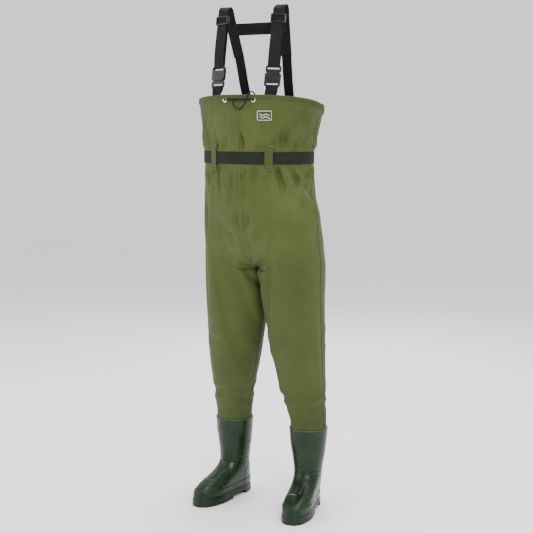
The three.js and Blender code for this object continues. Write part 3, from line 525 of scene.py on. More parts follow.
def metal_look(name, base, dark):
    look = Look(name, 0.28, metallic=1.0)
    tarnish = look.noise(220, 5.0)
    look.color(look.mixed(look.grey(tarnish, [(0.45, 0), (0.8, 1)]), srgb(*base), srgb(*dark)))
    look.rough(tarnish, 0.2, 0.42)
    look.bump(look.noise(900, 3.0), 0.00005, 0.4)
    return look.material


def thread_look(name, base, light):
    look = Look(name, 0.7, sheen=0.2)
    look.color(look.mixed(look.noise(700, 3.0), srgb(*base), srgb(*light)))
    look.bump(look.noise(2200, 2.0), 0.0001, 0.6)
    return look.material


def cord_look(name, base, light):
    """A braid: two sets of strands that cross round the cord."""
    look = Look(name, 0.7, specular=0.2)
    x, y, z = look.separate(look.place)
    one = wave(look, look.math("ADD", look.math("ADD", x, z), y), 0.0026)
    two = wave(look, look.math("SUBTRACT", look.math("SUBTRACT", x, z), y), 0.0026)
    braid = look.math("MAXIMUM", one, two)
    look.color(look.mixed(look.grey(braid, [(0.3, 0), (1, 1)]), srgb(*base), srgb(*light)))
    look.bump(braid, 0.0004, 0.8)
    look.bump(look.noise(1300, 2.0), 0.0001, 0.4)
    return look.material


def felt_look(name, base, light):
    look = Look(name, 0.95, specular=0.15, sheen=0.3)
    fibres = look.noise(600, 6.0)
    look.color(look.mixed(fibres, srgb(*base), srgb(*light)))
    look.bump(fibres, 0.0005, 0.7)
    return look.material


OLIVE = fabric_look("coated_fabric", (66, 75, 32), (58, 67, 26), (76, 85, 40))
# A darker copy of the coated fabric: painted shade on the hem's folded edge and the belt loops.
OLIVE_SHADED = fabric_look("coated_fabric_shaded", (61, 70, 29), (53, 62, 24), (72, 81, 37))
TAPE = fabric_look("seam_tape", (70, 77, 52), (60, 66, 44), (84, 91, 66))
WEBBING = webbing_look("black_webbing", (8, 10, 8), (27, 31, 27))
BELT_WEB = webbing_look("belt_webbing", (13, 18, 13), (35, 42, 35))
ELASTIC = webbing_look("elastic_webbing", (7, 8, 7), (24, 26, 23), 0.0028, 0.0019)
PLASTIC = plastic_look("black_plastic", (7, 8, 8), (17, 20, 19))
BOOT = boot_look("boot_pvc", (11, 33, 12), (7, 26, 8), (20, 46, 21), 0.30, rim=True)
SOLE = boot_look("sole_pvc", (9, 28, 11), (6, 22, 8), (18, 40, 20), 0.40)
BRASS = metal_look("eyelet_metal", (226, 218, 186), (150, 136, 92))
THREAD = thread_look("thread", (58, 66, 30), (88, 96, 52))
DARK_THREAD = thread_look("dark_thread", (10, 11, 10), (40, 43, 39))
CORD = cord_look("cord", (7, 8, 7), (30, 32, 29))
FELT = felt_look("insole_felt", (96, 94, 80), (140, 136, 120))
LABEL = plastic_look("label_rubber", (38, 47, 36), (52, 62, 48), 0.55)
LABEL_PALE = plastic_look("label_pale", (176, 184, 160), (200, 206, 184), 0.5)


# ---------- Eyelets, which flatten the fabric round them ----------

EYELET_T, EYELET_DROP = 0.15, 0.014
EYELET_HOLE = 0.0046  # radius of the hole in the fabric
EYELET_Z = float(hem_height(-1, EYELET_T)) - EYELET_DROP


class Eyelet:
    """An eyelet's middle on the fabric's outer face, and its directions."""

    def __init__(self, side):
        near = body_point(side, -1, EYELET_T - 0.05, EYELET_Z)
        far = body_point(side, -1, EYELET_T + 0.05, EYELET_Z)
        above = body_point(side, -1, EYELET_T, EYELET_Z + 0.01)
        below = body_point(side, -1, EYELET_T, EYELET_Z - 0.01)
        self.at = (near + far) / 2
        self.across = unit(far - near)
        self.out = unit(np.cross(self.across, above - below))
        if self.out[1] > 0:
            self.out = -self.out

    def place(self, across, out):
        """A point given in millimetres along the hem and out from the fabric."""
        return self.at + self.across * across / 1000 + self.out * out / 1000


EYELETS = {side: Eyelet(side) for side in (1, -1)}


def flatten_at_eyelets(points):
    """Presses the fabric flat under each eyelet's flange."""
    for eyelet in EYELETS.values():
        gap = points - eyelet.at
        height = gap @ eyelet.out
        aside = np.linalg.norm(gap - height[:, None] * eyelet.out, axis=1)
        share = (1 - smoothstep(aside, 0.010, 0.024)) * (np.abs(height) < 0.02)
        points = points - eyelet.out * (share * height)[:, None]
    return points


# ---------- The shell of bib and legs ----------

COLUMNS = 40
LEG_ROWS, RISE_ROWS, HIP_ROWS, BIB_ROWS = 78, 22, 26, 20
HEM_PIN = 0.040  # the hem keeps its shape this far down, where the facings hold it
MOST_DRAPE = 0.013  # how far the simulation may take the fabric
SLIDE_SHARE = 0.3  # the lining's grip: how much of its slide along the surface is kept


def panel_rows(face, t):
    """The heights of a panel's rows, from inside the boot to the hem, for each column t."""
    leg = np.linspace(LEG_END_Z + 0.006, CROTCH_Z, LEG_ROWS + 1)
    turn = np.linspace(0, math.pi / 2, RISE_ROWS + 1)[1:]
    rise = CROTCH_Z + (RISE_TOP_Z - CROTCH_Z) * (1 - np.cos(turn))
    hips = np.linspace(RISE_TOP_Z, BELT_HIGH + 0.011, HIP_ROWS + 1)[1:]
    level = np.concatenate([leg, rise, hips])[:, None] * np.ones_like(t)[None, :]
    share = np.linspace(0, 1, BIB_ROWS + 1)[1:, None]
    bib = level[-1] + (hem_height(face, t)[None, :] - level[-1]) * share
    return np.vstack([level, bib])


PANELS = ((1, -1), (1, 1), (-1, -1), (-1, 1))


class Shell:
    """The welded fabric as one grid, with each vertex's side, face, seam share and row."""

    def __init__(self):
        t = np.linspace(0, 1, COLUMNS + 1)
        self.index, self.points, self.t, self.side, self.face = {}, [], [], [], []
        self.faces, self.panel, self.ids = [], [], {}
        for side in (1, -1):
            for face in (-1, 1):
                z = panel_rows(face, t)
                grid = body_point(side, face, t[None, :], z)
                self.ids[side, face] = self.add(grid, t, side, face)
        self.points = np.array(self.points)
        self.t = np.array(self.t)
        self.side = np.array(self.side)
        self.face = np.array(self.face)

    def add(self, grid, t, side, face):
        ids = np.zeros(grid.shape[:2], int)
        for r in range(grid.shape[0]):
            for c in range(grid.shape[1]):
                key = tuple(np.round(grid[r, c] * 1e5).astype(int))
                if key not in self.index:
                    self.index[key] = len(self.points)
                    self.points.append(grid[r, c])
                    self.t.append(t[c])
                    self.side.append(side)
                    self.face.append(face)
                ids[r, c] = self.index[key]
        for r in range(grid.shape[0] - 1):
            for c in range(grid.shape[1] - 1):
                quad = [ids[r, c], ids[r, c + 1], ids[r + 1, c + 1], ids[r + 1, c]]
                quad = list(dict.fromkeys(quad))
                if len(quad) < 3:
                    continue
                self.faces.append(quad if side * face < 0 else quad[::-1])
                self.panel.append(PANELS.index((side, face)))
        return ids


def gathers(points, around):
    """Folds that fan out from under the belt, above and below it."""
    off = points[:, 2] - BELT_Z
    away = np.maximum(np.abs(off) - 0.019, 0)
    envelope = smoothstep(away, 0.0, 0.022) * np.exp(-away / 0.062)
    above = off > 0
    value = np.zeros(len(points))
    for k, (pitch, phase, size) in enumerate(((0.083, 0.4, 1.0), (0.052, 2.1, 0.7), (0.034, 4.0, 0.4))):
        slant = np.where(above, 0.35, -0.55) * (1 if k % 2 else -0.6)
        value += size * np.sin(2 * math.pi * (around + slant * off) / pitch + phase + above * 1.3)
    ridged = 1 - np.abs(value) / 1.4
    return envelope * (ridged * 0.0165 - 0.0088)


# Creases: side, face, from (t, height) to (t, height), half width and depth.
CREASES = (
    (1, -1, (0.16, 1.135), (0.34, 1.030), 0.012, 0.0050),
    (1, -1, (0.36, 1.135), (0.86, 0.985), 0.013, 0.0065),
    (1, -1, (0.52, 1.130), (0.95, 1.045), 0.010, 0.0050),
    (1, -1, (0.70, 1.128), (0.98, 1.085), 0.009, 0.0040),
    (-1, -1, (0.10, 1.135), (0.16, 0.985), 0.012, 0.0045),
    (-1, -1, (0.45, 1.132), (0.62, 1.020), 0.012, 0.0045),
    (-1, -1, (0.42, 1.184), (0.50, 1.262), 0.009, 0.0060),
    (1, -1, (0.06, 1.184), (0.02, 1.240), 0.008, 0.0060),
    (-1, -1, (0.18, 1.184), (0.14, 1.235), 0.008, 0.0055),
    (1, -1, (0.20, 1.137), (0.16, 1.085), 0.008, 0.0055),
    (1, -1, (0.44, 1.137), (0.50, 1.070), 0.007, 0.0060),
    (1, -1, (0.60, 1.137), (0.74, 1.060), 0.008, 0.0055),
    (-1, -1, (0.30, 1.137), (0.30, 1.070), 0.008, 0.0050),
    (1, -1, (0.06, 0.985), (0.02, 0.900), 0.010, 0.0060),
    (-1, -1, (0.06, 0.985), (0.02, 0.900), 0.010, 0.0050),
    (1, -1, (0.45, 1.186), (0.58, 1.260), 0.012, 0.0050),
    (1, -1, (0.78, 1.186), (0.86, 1.250), 0.012, 0.0050),
    (1, -1, (0.02, 0.880), (0.36, 0.955), 0.013, 0.0050),
    (-1, -1, (0.02, 0.880), (0.36, 0.950), 0.013, 0.0050),
    (1, -1, (0.04, 0.800), (0.42, 0.845), 0.011, 0.0045),
    (-1, -1, (0.04, 0.800), (0.42, 0.840), 0.011, 0.0045),
    (1, -1, (0.20, 0.560), (0.75, 0.585), 0.014, 0.0035),
    (-1, -1, (0.25, 0.545), (0.80, 0.575), 0.014, 0.0035),
    (1, 1, (0.20, 0.600), (0.85, 0.575), 0.013, 0.0050),
    (-1, 1, (0.20, 0.600), (0.85, 0.575), 0.013, 0.0050),
    (1, 1, (0.05, 0.850), (0.70, 0.915), 0.014, 0.0055),
    (-1, 1, (0.05, 0.850), (0.70, 0.915), 0.014, 0.0055),
    (1, -1, (0.15, 0.375), (0.85, 0.395), 0.012, 0.0025),
    (-1, -1, (0.15, 0.390), (0.85, 0.370), 0.012, 0.0025),
    (1, 1, (0.15, 0.375), (0.85, 0.390), 0.012, 0.0030),
    (-1, 1, (0.15, 0.380), (0.85, 0.365), 0.012, 0.0030),
)


def creases(shell):
    """How far each vertex is pressed in by the creases, with a soft lip on either side."""
    total = np.zeros(len(shell.points))
    for side, face, start, end, half, depth in CREASES:
        steps = np.linspace(0, 1, 24)
        t = start[0] + (end[0] - start[0]) * steps
        z = start[1] + (end[1] - start[1]) * steps
        line = body_point(side, face, t, z)
        gap = shell.points[:, None, :] - line[None, :, :]
        distance = np.linalg.norm(gap, axis=2)
        nearest = distance.argmin(axis=1)
        d = distance[np.arange(len(nearest)), nearest]
        fade = np.sin(math.pi * np.clip(steps[nearest], 0.04, 0.96)) ** 0.5
        dent = np.exp(-((d / half) ** 2)) - 0.75 * np.exp(-(((d - 2.1 * half) / (1.1 * half)) ** 2))
        total -= 1.6 * depth * fade * dent
    return total


def softness(points):
    """Slow unevenness of the hanging fabric, with longer waves down the legs."""
    values = []
    for p in points:
        broad = noise.noise(Vector((p[0] * 9, p[1] * 9, p[2] * 4.5)))
        close = noise.noise(Vector((p[0] * 22 + 7, p[1] * 22, p[2] * 12)))
        values.append(0.0040 * broad + 0.0018 * close)
    return np.array(values)


def held(shell):
    """1 where the fabric is held still, by the hem, the belt and the boots, and 0 elsewhere."""
    z = shell.points[:, 2]
    hem = np.where(shell.face < 0, hem_height(-1, shell.t), hem_height(1, shell.t))
    at_hem = 1 - smoothstep(hem - z, HEM_PIN, HEM_PIN + 0.05)
    at_belt = 1 - smoothstep(np.abs(z - BELT_Z), 0.021, 0.034)
    at_boot = 1 - smoothstep(z, BOOT_TOP_Z + 0.004, BOOT_TOP_Z + 0.110)
    return np.maximum.reduce([at_hem, at_belt, at_boot])


def simulate(piece, pin, frames=16):
    """Lets the slightly oversized fabric settle under its weight between what holds it."""
    group = piece.vertex_groups.new(name="held")
    for i, weight in enumerate(pin):
        group.add([i], float(max(weight, 0.0)), "REPLACE")
    cloth = piece.modifiers.new("cloth", "CLOTH")
    settings = cloth.settings
    settings.quality = 6
    settings.mass = 0.25
    settings.tension_stiffness = 18
    settings.compression_stiffness = 18
    settings.shear_stiffness = 8
    settings.bending_stiffness = 1.6
    settings.air_damping = 3
    settings.vertex_group_mass = "held"
    settings.pin_stiffness = 1.0
    settings.shrink_min = -0.022
    settings.use_pressure = True
    settings.uniform_pressure_force = 0.35
    settings.effector_weights.gravity = 0.6
    cloth.collision_settings.use_collision = False
    cloth.collision_settings.use_self_collision = False
    cloth.point_cache.frame_start = 1
    cloth.point_cache.frame_end = frames
    scene = bpy.context.scene
    for number in range(1, frames + 1):
        scene.frame_set(number)
    moved = piece.evaluated_get(bpy.context.evaluated_depsgraph_get())
    result = coordinates(moved.data).copy()
    piece.modifiers.clear()
    piece.vertex_groups.clear()
    scene.frame_set(1)
    return result


def make_shell():
    shell = Shell()
    piece = new_object("bib_and_legs", shell.points, shell.faces, OLIVE)
    face_outward(piece)
    normals = vertex_normals(piece.data)
    keep = held(shell)
    around = np.arctan2(shell.points[:, 0], -(shell.points[:, 1] + 0.025)) * 0.17
    free = 1 - keep
    push = gathers(shell.points, around) + free * (creases(shell) + softness(shell.points))
    start = shell.points + normals * push[:, None]
    set_coordinates(piece.data, start)
    pin = np.clip(keep + 0.012, 0, 1)
    settled = simulate(piece, pin)
    step = np.nan_to_num(settled - start)
    outward = (step * normals).sum(axis=1, keepdims=True) * normals
    step = outward + SLIDE_SHARE * (step - outward)
    length = np.linalg.norm(step, axis=1, keepdims=True)
    in_bib = 0.25 + 0.75 * smoothstep(shell.points[:, 2], 0.45, 0.95)
    limit = MOST_DRAPE * (in_bib * free**1.5)[:, None]
    step *= np.minimum(1, limit / np.maximum(length, 1e-9))
    start = start + step
    start = flatten_at_eyelets(start)
    set_coordinates(piece.data, start)
    shell.settled = start
    return piece, shell


shell_piece, shell = make_shell()


def open_eyelet_holes(piece):
    """Takes out the fabric inside each eyelet's barrel."""
    work = edit_mesh(piece)
    gone = []
    for face in work.faces:
        middle = np.array(face.calc_center_median())
        if any(np.linalg.norm(middle - eyelet.at) < EYELET_HOLE for eyelet in EYELETS.values()):
            gone.append(face)
    bmesh.ops.delete(work, geom=gone, context="FACES")
    keep_edit(work, piece)


def panel_name(side, face):
    return ("front" if face < 0 else "back") + ("_left" if side > 0 else "_right") + "_panel"


def split_shell(piece):
    """Cuts the shell at its seams into the panels that it is sewn from, and thickens them."""
    for number, (side, face) in enumerate(PANELS):
        name = panel_name(side, face)
        panel = bpy.data.objects.new(name + "_cloth", piece.data.copy())
        bpy.context.scene.collection.objects.link(panel)
        work = edit_mesh(panel)
        others = [f for f in work.faces if f.material_index != number]
        bmesh.ops.delete(work, geom=others, context="FACES")
        keep_edit(work, panel)
        panel.data.polygons.foreach_set("material_index", [0] * len(panel.data.polygons))
        panel.data.materials.clear()
        panel.data.materials.append(OLIVE)
        thicken(panel, FABRIC, -1)
        stands_for(panel, name)
    bpy.data.objects.remove(piece)


def finish_shell(piece):
    """Finer faces and the coordinates that the weave follows, before the shell is cut up."""
    for _ in range(len(PANELS) - 1):
        piece.data.materials.append(OLIVE)
    piece.data.polygons.foreach_set("material_index", shell.panel)
    piece.modifiers.new("finer", "SUBSURF").levels = 1
    apply_modifiers(piece)
    open_eyelet_holes(piece)
    co = coordinates(piece.data)
    trunk = co[:, 2] > CROTCH_Z
    x = np.where(trunk, co[:, 0], np.abs(co[:, 0]) - 0.115)
    angle = np.arctan2(x, -(co[:, 1] - np.where(trunk, -0.02, 0.035)))
    radius = np.where(trunk, 0.17, 0.085)
    set_attribute(piece, "cloth", np.stack([angle * radius, co[:, 2], co[:, 1]], axis=1))
    split_shell(piece)


finish_shell(shell_piece)
outer_tree = BVHTree.FromPolygons([tuple(p) for p in shell.settled], shell.faces)


# ---------- Ribbons: webbing, tapes and seams ----------

def resample(points, step):
    """Points along a smooth curve through the given ones, about a step apart."""
    points = np.asarray(points, float)
    padded = np.vstack([2 * points[0] - points[1], points, 2 * points[-1] - points[-2]])
    out = []
    for i in range(1, len(padded) - 2):
        a, b, c, d = padded[i - 1 : i + 3]
        count = max(1, int(round(np.linalg.norm((c - b)[:3]) / step)))
        gap_ab = max(np.linalg.norm((b - a)[:3]), 1e-6)
        gap_bc = max(np.linalg.norm((c - b)[:3]), 1e-6)
        gap_cd = max(np.linalg.norm((d - c)[:3]), 1e-6)
        leave = ((b - a) / gap_ab + (c - b) / gap_bc) / 2 * gap_bc
        arrive = ((c - b) / gap_bc + (d - c) / gap_cd) / 2 * gap_bc
        for k in range(count):
            t = k / count
            out.append(
                (2 * t**3 - 3 * t**2 + 1) * b
                + (t**3 - 2 * t**2 + t) * leave
                + (3 * t**2 - 2 * t**3) * c
                + (t**3 - t**2) * arrive
            )
    out.append(padded[-2])
    return np.array(out)


def band_profile(width, thickness):
    """A band's section as (across, out) pairs: round edges, and a slightly raised selvage."""
    half, thin = width / 2, thickness / 2
    edge = min(thin, 0.0012)
    top = []
    for share in np.linspace(-1, 1, 11):
        lift = thin * (1.0 + 0.16 * (abs(share) > 0.85))
        top.append((share * (half - edge), lift))
    right = [(half - edge + edge * math.sin(a), thin * math.cos(a)) for a in (0.9, 1.571, 2.24)]
    left = [(-x, z) for x, z in reversed(right)]
    bottom = [(x, -z) for x, z in reversed(top)]
    return top + right + bottom + left


def ribbon(name, centres, across, width, thickness, material):
    """A closed band along centres, whose width lies along the across directions."""
    centres, across = np.asarray(centres, float), unit(across)
    tangent = unit(np.gradient(centres, axis=0))
    across = unit(across - (across * tangent).sum(1, keepdims=True) * tangent)
    out = np.cross(tangent, across)
    profile = np.array(band_profile(width, thickness))
    points = (
        centres[:, None, :]
        + across[:, None, :] * profile[None, :, :1]
        + out[:, None, :] * profile[None, :, 1:]
    )
    weave = np.zeros_like(points)
    weave[:, :, 0] = profile[None, :, 0]
    weave[:, :, 1] = lengths_along(centres)[:, None]
    faces = tube_faces(len(centres), len(profile))
    piece = new_object(name, points.reshape(-1, 3), faces, material)
    face_outward(piece)
    set_attribute(piece, "weave", weave.reshape(-1, 3))
    set_attribute(piece, "cloth", weave.reshape(-1, 3))
    return piece


STITCH_RINGS = ((-0.55, 0.35), (-0.3, 1.0), (0.3, 1.0), (0.55, 0.35))  # share of the length, size
STITCH_SIDES = 6


def stitches(name, lines, material, pitch=0.0034, length=0.0024, radius=0.00042):
    """Rows of thread as one piece. Each line is points and the outward directions there."""
    points, faces = [], []
    for route, outward in lines:
        route, outward = np.asarray(route, float), unit(outward)
        run = lengths_along(route)

        def on(values, s, run=run):
            return np.array([np.interp(s, run, values[:, k]) for k in range(3)])

        for s in np.arange(pitch / 2, run[-1] - pitch / 2, pitch):
            ends = [on(route, s + e * length / 2) for e in (-1, 1)]
            out = unit(on(outward, s))
            along = unit(ends[1] - ends[0])
            sideways = np.cross(along, out)
            faces += tube_faces(len(STITCH_RINGS), STITCH_SIDES, len(points), flip=True)
            for share, size in STITCH_RINGS:
                middle = (ends[0] + ends[1]) / 2 + along * share * length
                for k in range(STITCH_SIDES):
                    angle = 2 * math.pi * k / STITCH_SIDES
                    ring = sideways * math.cos(angle) * 1.15 + out * math.sin(angle) * 0.8
                    points.append(middle + ring * radius * size)
    return new_object(name, points, faces, material)


def seam_route(ids, column, low, high):
    """The settled fabric's points down one column of a panel between two heights, and its normals."""
    line = shell.settled[ids[:, column]]
    keep = (line[:, 2] >= low) & (line[:, 2] <= high)
    return line[keep], shell.normals[ids[keep, column]]


def settled_normals():
    """Vertex normals of the settled fabric, pointing out."""
    work = new_object("working_shell", shell.settled, shell.faces, None)
    face_outward(work)
    normals = vertex_normals(work.data).copy()
    bpy.data.objects.remove(work)
    return normals


shell.normals = settled_normals()
front_point = shell.ids[1, -1][-1, 5]
if shell.normals[front_point][1] > 0:
    shell.normals = -shell.normals

SEAM_WIDTH, SEAM_THICKNESS, SEAM_STAND = 0.011, 0.0011, 0.0005
TAPE_WIDTH, TAPE_THICKNESS = 0.014, 0.0008


def lay_seam(name, ids, column, low, high):
    """A felled seam outside with two rows of stitches, and its tape inside."""
    route, normals = seam_route(ids, column, low, high)
    step = np.gradient(route, axis=0)
    across = np.cross(step, normals)
    seam = ribbon(name, route + normals * SEAM_STAND, across, SEAM_WIDTH, SEAM_THICKNESS, OLIVE)
    finished(seam, "coated_fabric")
    inside = route - normals * (FABRIC + 0.0009)
    tape = ribbon(name + "_tape", inside, across, TAPE_WIDTH, TAPE_THICKNESS, TAPE)
    finished(tape, "seam_tape", name + "_tape")
    rows = []
    for way in (-1, 1):
        shift = unit(across) * way * SEAM_WIDTH * 0.33
        rows.append((route + normals * (SEAM_STAND + 0.0008) + shift, normals))
    return rows


def make_seams():
    rows = []
    below_hem = HEM_PIN - 0.002
    bottom = BOOT_TOP_Z - 0.004
    for word, side in (("left", 1), ("right", -1)):
        ids = shell.ids[side, -1]
        rows += lay_seam(word + "_side_seam", ids, COLUMNS, bottom, SIDE_HEM_Z - below_hem)
        rows += lay_seam(word + "_inseam", ids, 0, bottom, CROTCH_Z - 0.004)
    for word, face, hem in (("front", -1, FRONT_HEM_Z), ("back", 1, BACK_HEM_Z)):
        ids = shell.ids[1, face]
        rows += lay_seam("centre_" + word + "_seam", ids, 0, CROTCH_Z + 0.002, hem - below_hem)
    finished(stitches("seam_stitches", rows, THREAD), "coated_fabric")


make_seams()


# ---------- Hem ----------

def hem_line(face, drop, out):
    """Points along a hem from the wearer's right to the left, a distance below its edge."""
    points, normals = [], []
    for share in np.linspace(-1, 1, 2 * COLUMNS + 1):
        side = -1 if share < 0 else 1
        t = abs(share)
        z = hem_height(face, t) - drop
        p = body_point(side, face, t, z)
        e = 0.004
        q = body_point(side, face, min(t + e, 1), z) - body_point(side, face, max(t - e, 0), z)
        n = unit(np.cross(q, (0, 0, 1))) * side * face
        if n[1] * face < 0 and t < 0.95:
            n = -n
        if t >= 0.95 and n[0] * side < 0:
            n = -n
        points.append(p + n * out)
        normals.append(n)
    return np.array(points), np.array(normals)


def hem_roll(name, face):
    """The hem's folded edge: a narrow band bent over the top of the fabric."""
    points, normals = hem_line(face, 0.0, 0.0)
    tangent = unit(np.gradient(points, axis=0))
    up = unit(np.cross(normals, tangent))
    up *= np.sign(up[:, 2:3])
    section = []
    for angle in np.linspace(-0.15, math.pi + 0.15, 11):
        section.append((math.cos(angle) * 0.0021 - 0.0008, math.sin(angle) * 0.0018))
    section = [(0.0013, -0.011)] + section + [(-0.0029, -0.011), (-0.0021, -0.0112), (0.0006, -0.0112)]
    section = np.array(section)
    rings = (
        points[:, None, :]
        + normals[:, None, :] * section[None, :, :1]
        + up[:, None, :] * section[None, :, 1:]
    )
    faces = tube_faces(len(points), len(section))
    # The darker fabric copy paints shade on the folded edge.
    piece = new_object(name, rings.reshape(-1, 3), faces, OLIVE_SHADED)
    face_outward(piece)
    weave = np.zeros_like(rings)
    weave[:, :, 0] = section[None, :, 1]
    weave[:, :, 1] = lengths_along(points)[:, None]
    set_attribute(piece, "cloth", weave.reshape(-1, 3))
    return finished(piece, "coated_fabric")


def make_hems():
    rows = []
    for word, face in (("front", -1), ("back", 1)):
        hem_roll(word + "_hem_edge", face)
        for drop, out in ((0.0085, 0.0016), (0.0295, 0.0006)):
            rows.append(hem_line(face, drop, out))
    finished(stitches("hem_stitches", rows, THREAD), "coated_fabric")


make_hems()


# ---------- Hard parts: rounded copies of the CAD solids ----------

def clean_copy(node, name, material):
    """A copy of a CAD node as a tidy mesh without the importer's split points."""
    piece = bpy.data.objects.new(name, nodes[node].data.copy())
    bpy.context.scene.collection.objects.link(piece)
    piece.data.materials.clear()
    piece.data.materials.append(material)
    work = edit_mesh(piece)
    bmesh.ops.remove_doubles(work, verts=work.verts, dist=WELD)
    bmesh.ops.dissolve_limit(work, angle_limit=math.radians(1.0), verts=work.verts, edges=work.edges)
    keep_edit(work, piece)
    return piece


def round_edges(piece, radius, segments, degrees):
    """Rounds the edges whose faces meet at more than an angle."""
    smooth_faces(piece)
    bevel = piece.modifiers.new("round", "BEVEL")
    bevel.width = radius
    bevel.segments = segments
    bevel.limit_method = "ANGLE"
    bevel.angle_limit = math.radians(degrees)
    bevel.harden_normals = True
    apply_modifiers(piece)


# CAD node's part, what the piece's name adds, look, slot and rounding
BUCKLE_PARTS = (
    ("buckle_housing", "shell", PLASTIC, "black_plastic", 0.0013),
    ("buckle_plug", "shell", PLASTIC, "black_plastic", 0.0010),
    ("buckle_prong_a", "shell", PLASTIC, "black_plastic", 0.0008),
    ("buckle_prong_b", "shell", PLASTIC, "black_plastic", 0.0008),
)
SIDE_PARTS = (
    ("slider", "frame", PLASTIC, "black_plastic", 0.0009),
    ("eyelet", "ring", BRASS, "eyelet_metal", 0.0004),
    ("eyelet_washer", "ring", BRASS, "eyelet_metal", 0.0004),
    ("insole", "pad", FELT, "insole_felt", 0.0008),
)


def make_hard_parts(words, parts):
    for word in words:
        for part, ending, material, slot, radius in parts:
            node = word + "_" + part
            piece = clean_copy(node, node + "_" + ending, material)
            round_edges(piece, radius, 3, 35)
            finished(piece, slot, node, body=BODY_OF[node])


make_hard_parts(("left", "right", "belt"), BUCKLE_PARTS)
make_hard_parts(("left", "right"), SIDE_PARTS)


# ---------- Boots ----------

SOLE_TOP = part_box("left_outsole")[1].z
BOOT_CENTRE = (0.1415, 0.068 - SET_FORWARD)
TOE_OUT = math.radians(10)


def bump_over(value, middle, half):
    """A smooth rise that is 1 at the middle and 0 beyond half away from it."""
    return 1 - smoothstep(np.abs(value - middle), 0, half)


def boot_relief(side, points, normals):
    """How far the moulded details stand out from a boot's plain outer face."""
    x = points[:, 0] - side * BOOT_CENTRE[0]
    y = points[:, 1] - BOOT_CENTRE[1]
    z = points[:, 2]
    turn = side * TOE_OUT
    forward = x * math.sin(turn) - y * math.cos(turn)
    lateral = x * math.cos(turn) + y * math.sin(turn)
    to_front = normals[:, 0] * math.sin(turn) - normals[:, 1] * math.cos(turn)
    up = normals[:, 2]
    from_axis = np.maximum(forward - 0.02, 0)
    outward = normals[:, 0] * x + normals[:, 1] * y
    outer = (outward > 0) | ((z < 0.16) & (up > 0.05))
    relief = 0.0013 * bump_over(z, BOOT_TOP_Z - 0.003, 0.006)
    relief += 0.0006 * smoothstep(z, BOOT_TOP_Z - 0.021, BOOT_TOP_Z - 0.018)
    relief -= 0.0009 * bump_over(z, BOOT_TOP_Z - 0.082, 0.0035)
    relief += 0.0006 * bump_over(z, BOOT_TOP_Z - 0.078, 0.003)
    rib = 1 - smoothstep(np.abs(lateral), 0.0055, 0.0105)
    on_instep = smoothstep(to_front + up, 0.35, 0.7) * (1 - smoothstep(z, 0.150, 0.175))
    relief += 0.0021 * rib * on_instep * (1 - smoothstep(forward, 0.118, 0.128))
    cap_edge = 0.128 - 9.0 * lateral**2
    relief += 0.0012 * smoothstep(forward, cap_edge - 0.002, cap_edge + 0.002)
    counter = 0.105 - 0.9 * np.maximum(forward + 0.035, 0)
    heel = (1 - smoothstep(z, counter - 0.002, counter + 0.002)) * (1 - smoothstep(forward, -0.012, -0.002))
    relief += 0.0013 * heel
    relief += 0.0015 * (1 - smoothstep(z, SOLE_TOP + 0.017, SOLE_TOP + 0.020))
    relief += 0.0008 * bump_over(z, SOLE_TOP + 0.0155, 0.003)
    ankle = bump_over(z, 0.128, 0.020) * (1 - smoothstep(from_axis, 0.02, 0.07))
    relief -= 0.0012 * ankle * (0.5 + 0.5 * np.sin(z * 420 + lateral * 40))
    return relief * outer


def make_boot(word, side):
    node = word + "_boot"
    piece = clean_copy(node, node + "_moulded", BOOT)
    work = edit_mesh(piece)
    bmesh.ops.triangulate(work, faces=[f for f in work.faces if len(f.verts) > 4])
    bmesh.ops.join_triangles(
        work,
        faces=work.faces,
        angle_face_threshold=math.radians(50),
        angle_shape_threshold=math.radians(60),
    )
    crease = work.edges.layers.float.new("crease_edge")
    for edge in work.edges:
        if len(edge.link_faces) == 2 and edge.calc_face_angle() > math.radians(55):
            edge[crease] = 0.85
    keep_edit(work, piece)
    piece.modifiers.new("finer", "SUBSURF").levels = 3
    apply_modifiers(piece)
    smooth_faces(piece)
    co, normals = coordinates(piece.data), vertex_normals(piece.data)
    set_coordinates(piece.data, co + normals * boot_relief(side, co, normals)[:, None])
    return stands_for(piece, node)


TREAD_TOP = 0.0055  # below this the lugs keep their CAD shape
LEAN_START_Z, LEAN, GROOVE_Z, GROOVE_HALF, GROOVE = 0.013, 0.0044, 0.0135, 0.0026, 0.0010


def make_outsole(word):
    """The lugged sole, whose wall leans in to the upper above a grooved edge."""
    node = word + "_outsole"
    piece = clean_copy(node, node + "_lugged", SOLE)
    work = edit_mesh(piece)
    for k in range(1, 21):
        level = SOLE_TOP - 0.0012 * k
        bmesh.ops.bisect_plane(work, geom=everything(work), plane_co=(0, 0, level), plane_no=(0, 0, 1))
    work.normal_update()
    for v in work.verts:
        z = v.co.z
        if z < TREAD_TOP:
            continue
        flat = Vector((v.normal.x, v.normal.y, 0))
        if flat.length < 0.2:
            continue
        share = max(z - LEAN_START_Z, 0) / (SOLE_TOP - LEAN_START_Z)
        lean = LEAN * share**2.0
        groove = GROOVE * float(bump_over(z, GROOVE_Z, GROOVE_HALF))
        v.co -= flat.normalized() * (lean + groove)
    keep_edit(work, piece)
    round_edges(piece, 0.0009, 2, 40)
    return stands_for(piece, node)


for boot_word, boot_side in (("left", 1), ("right", -1)):
    make_boot(boot_word, boot_side)
    make_outsole(boot_word)


# ---------- Webbing ----------

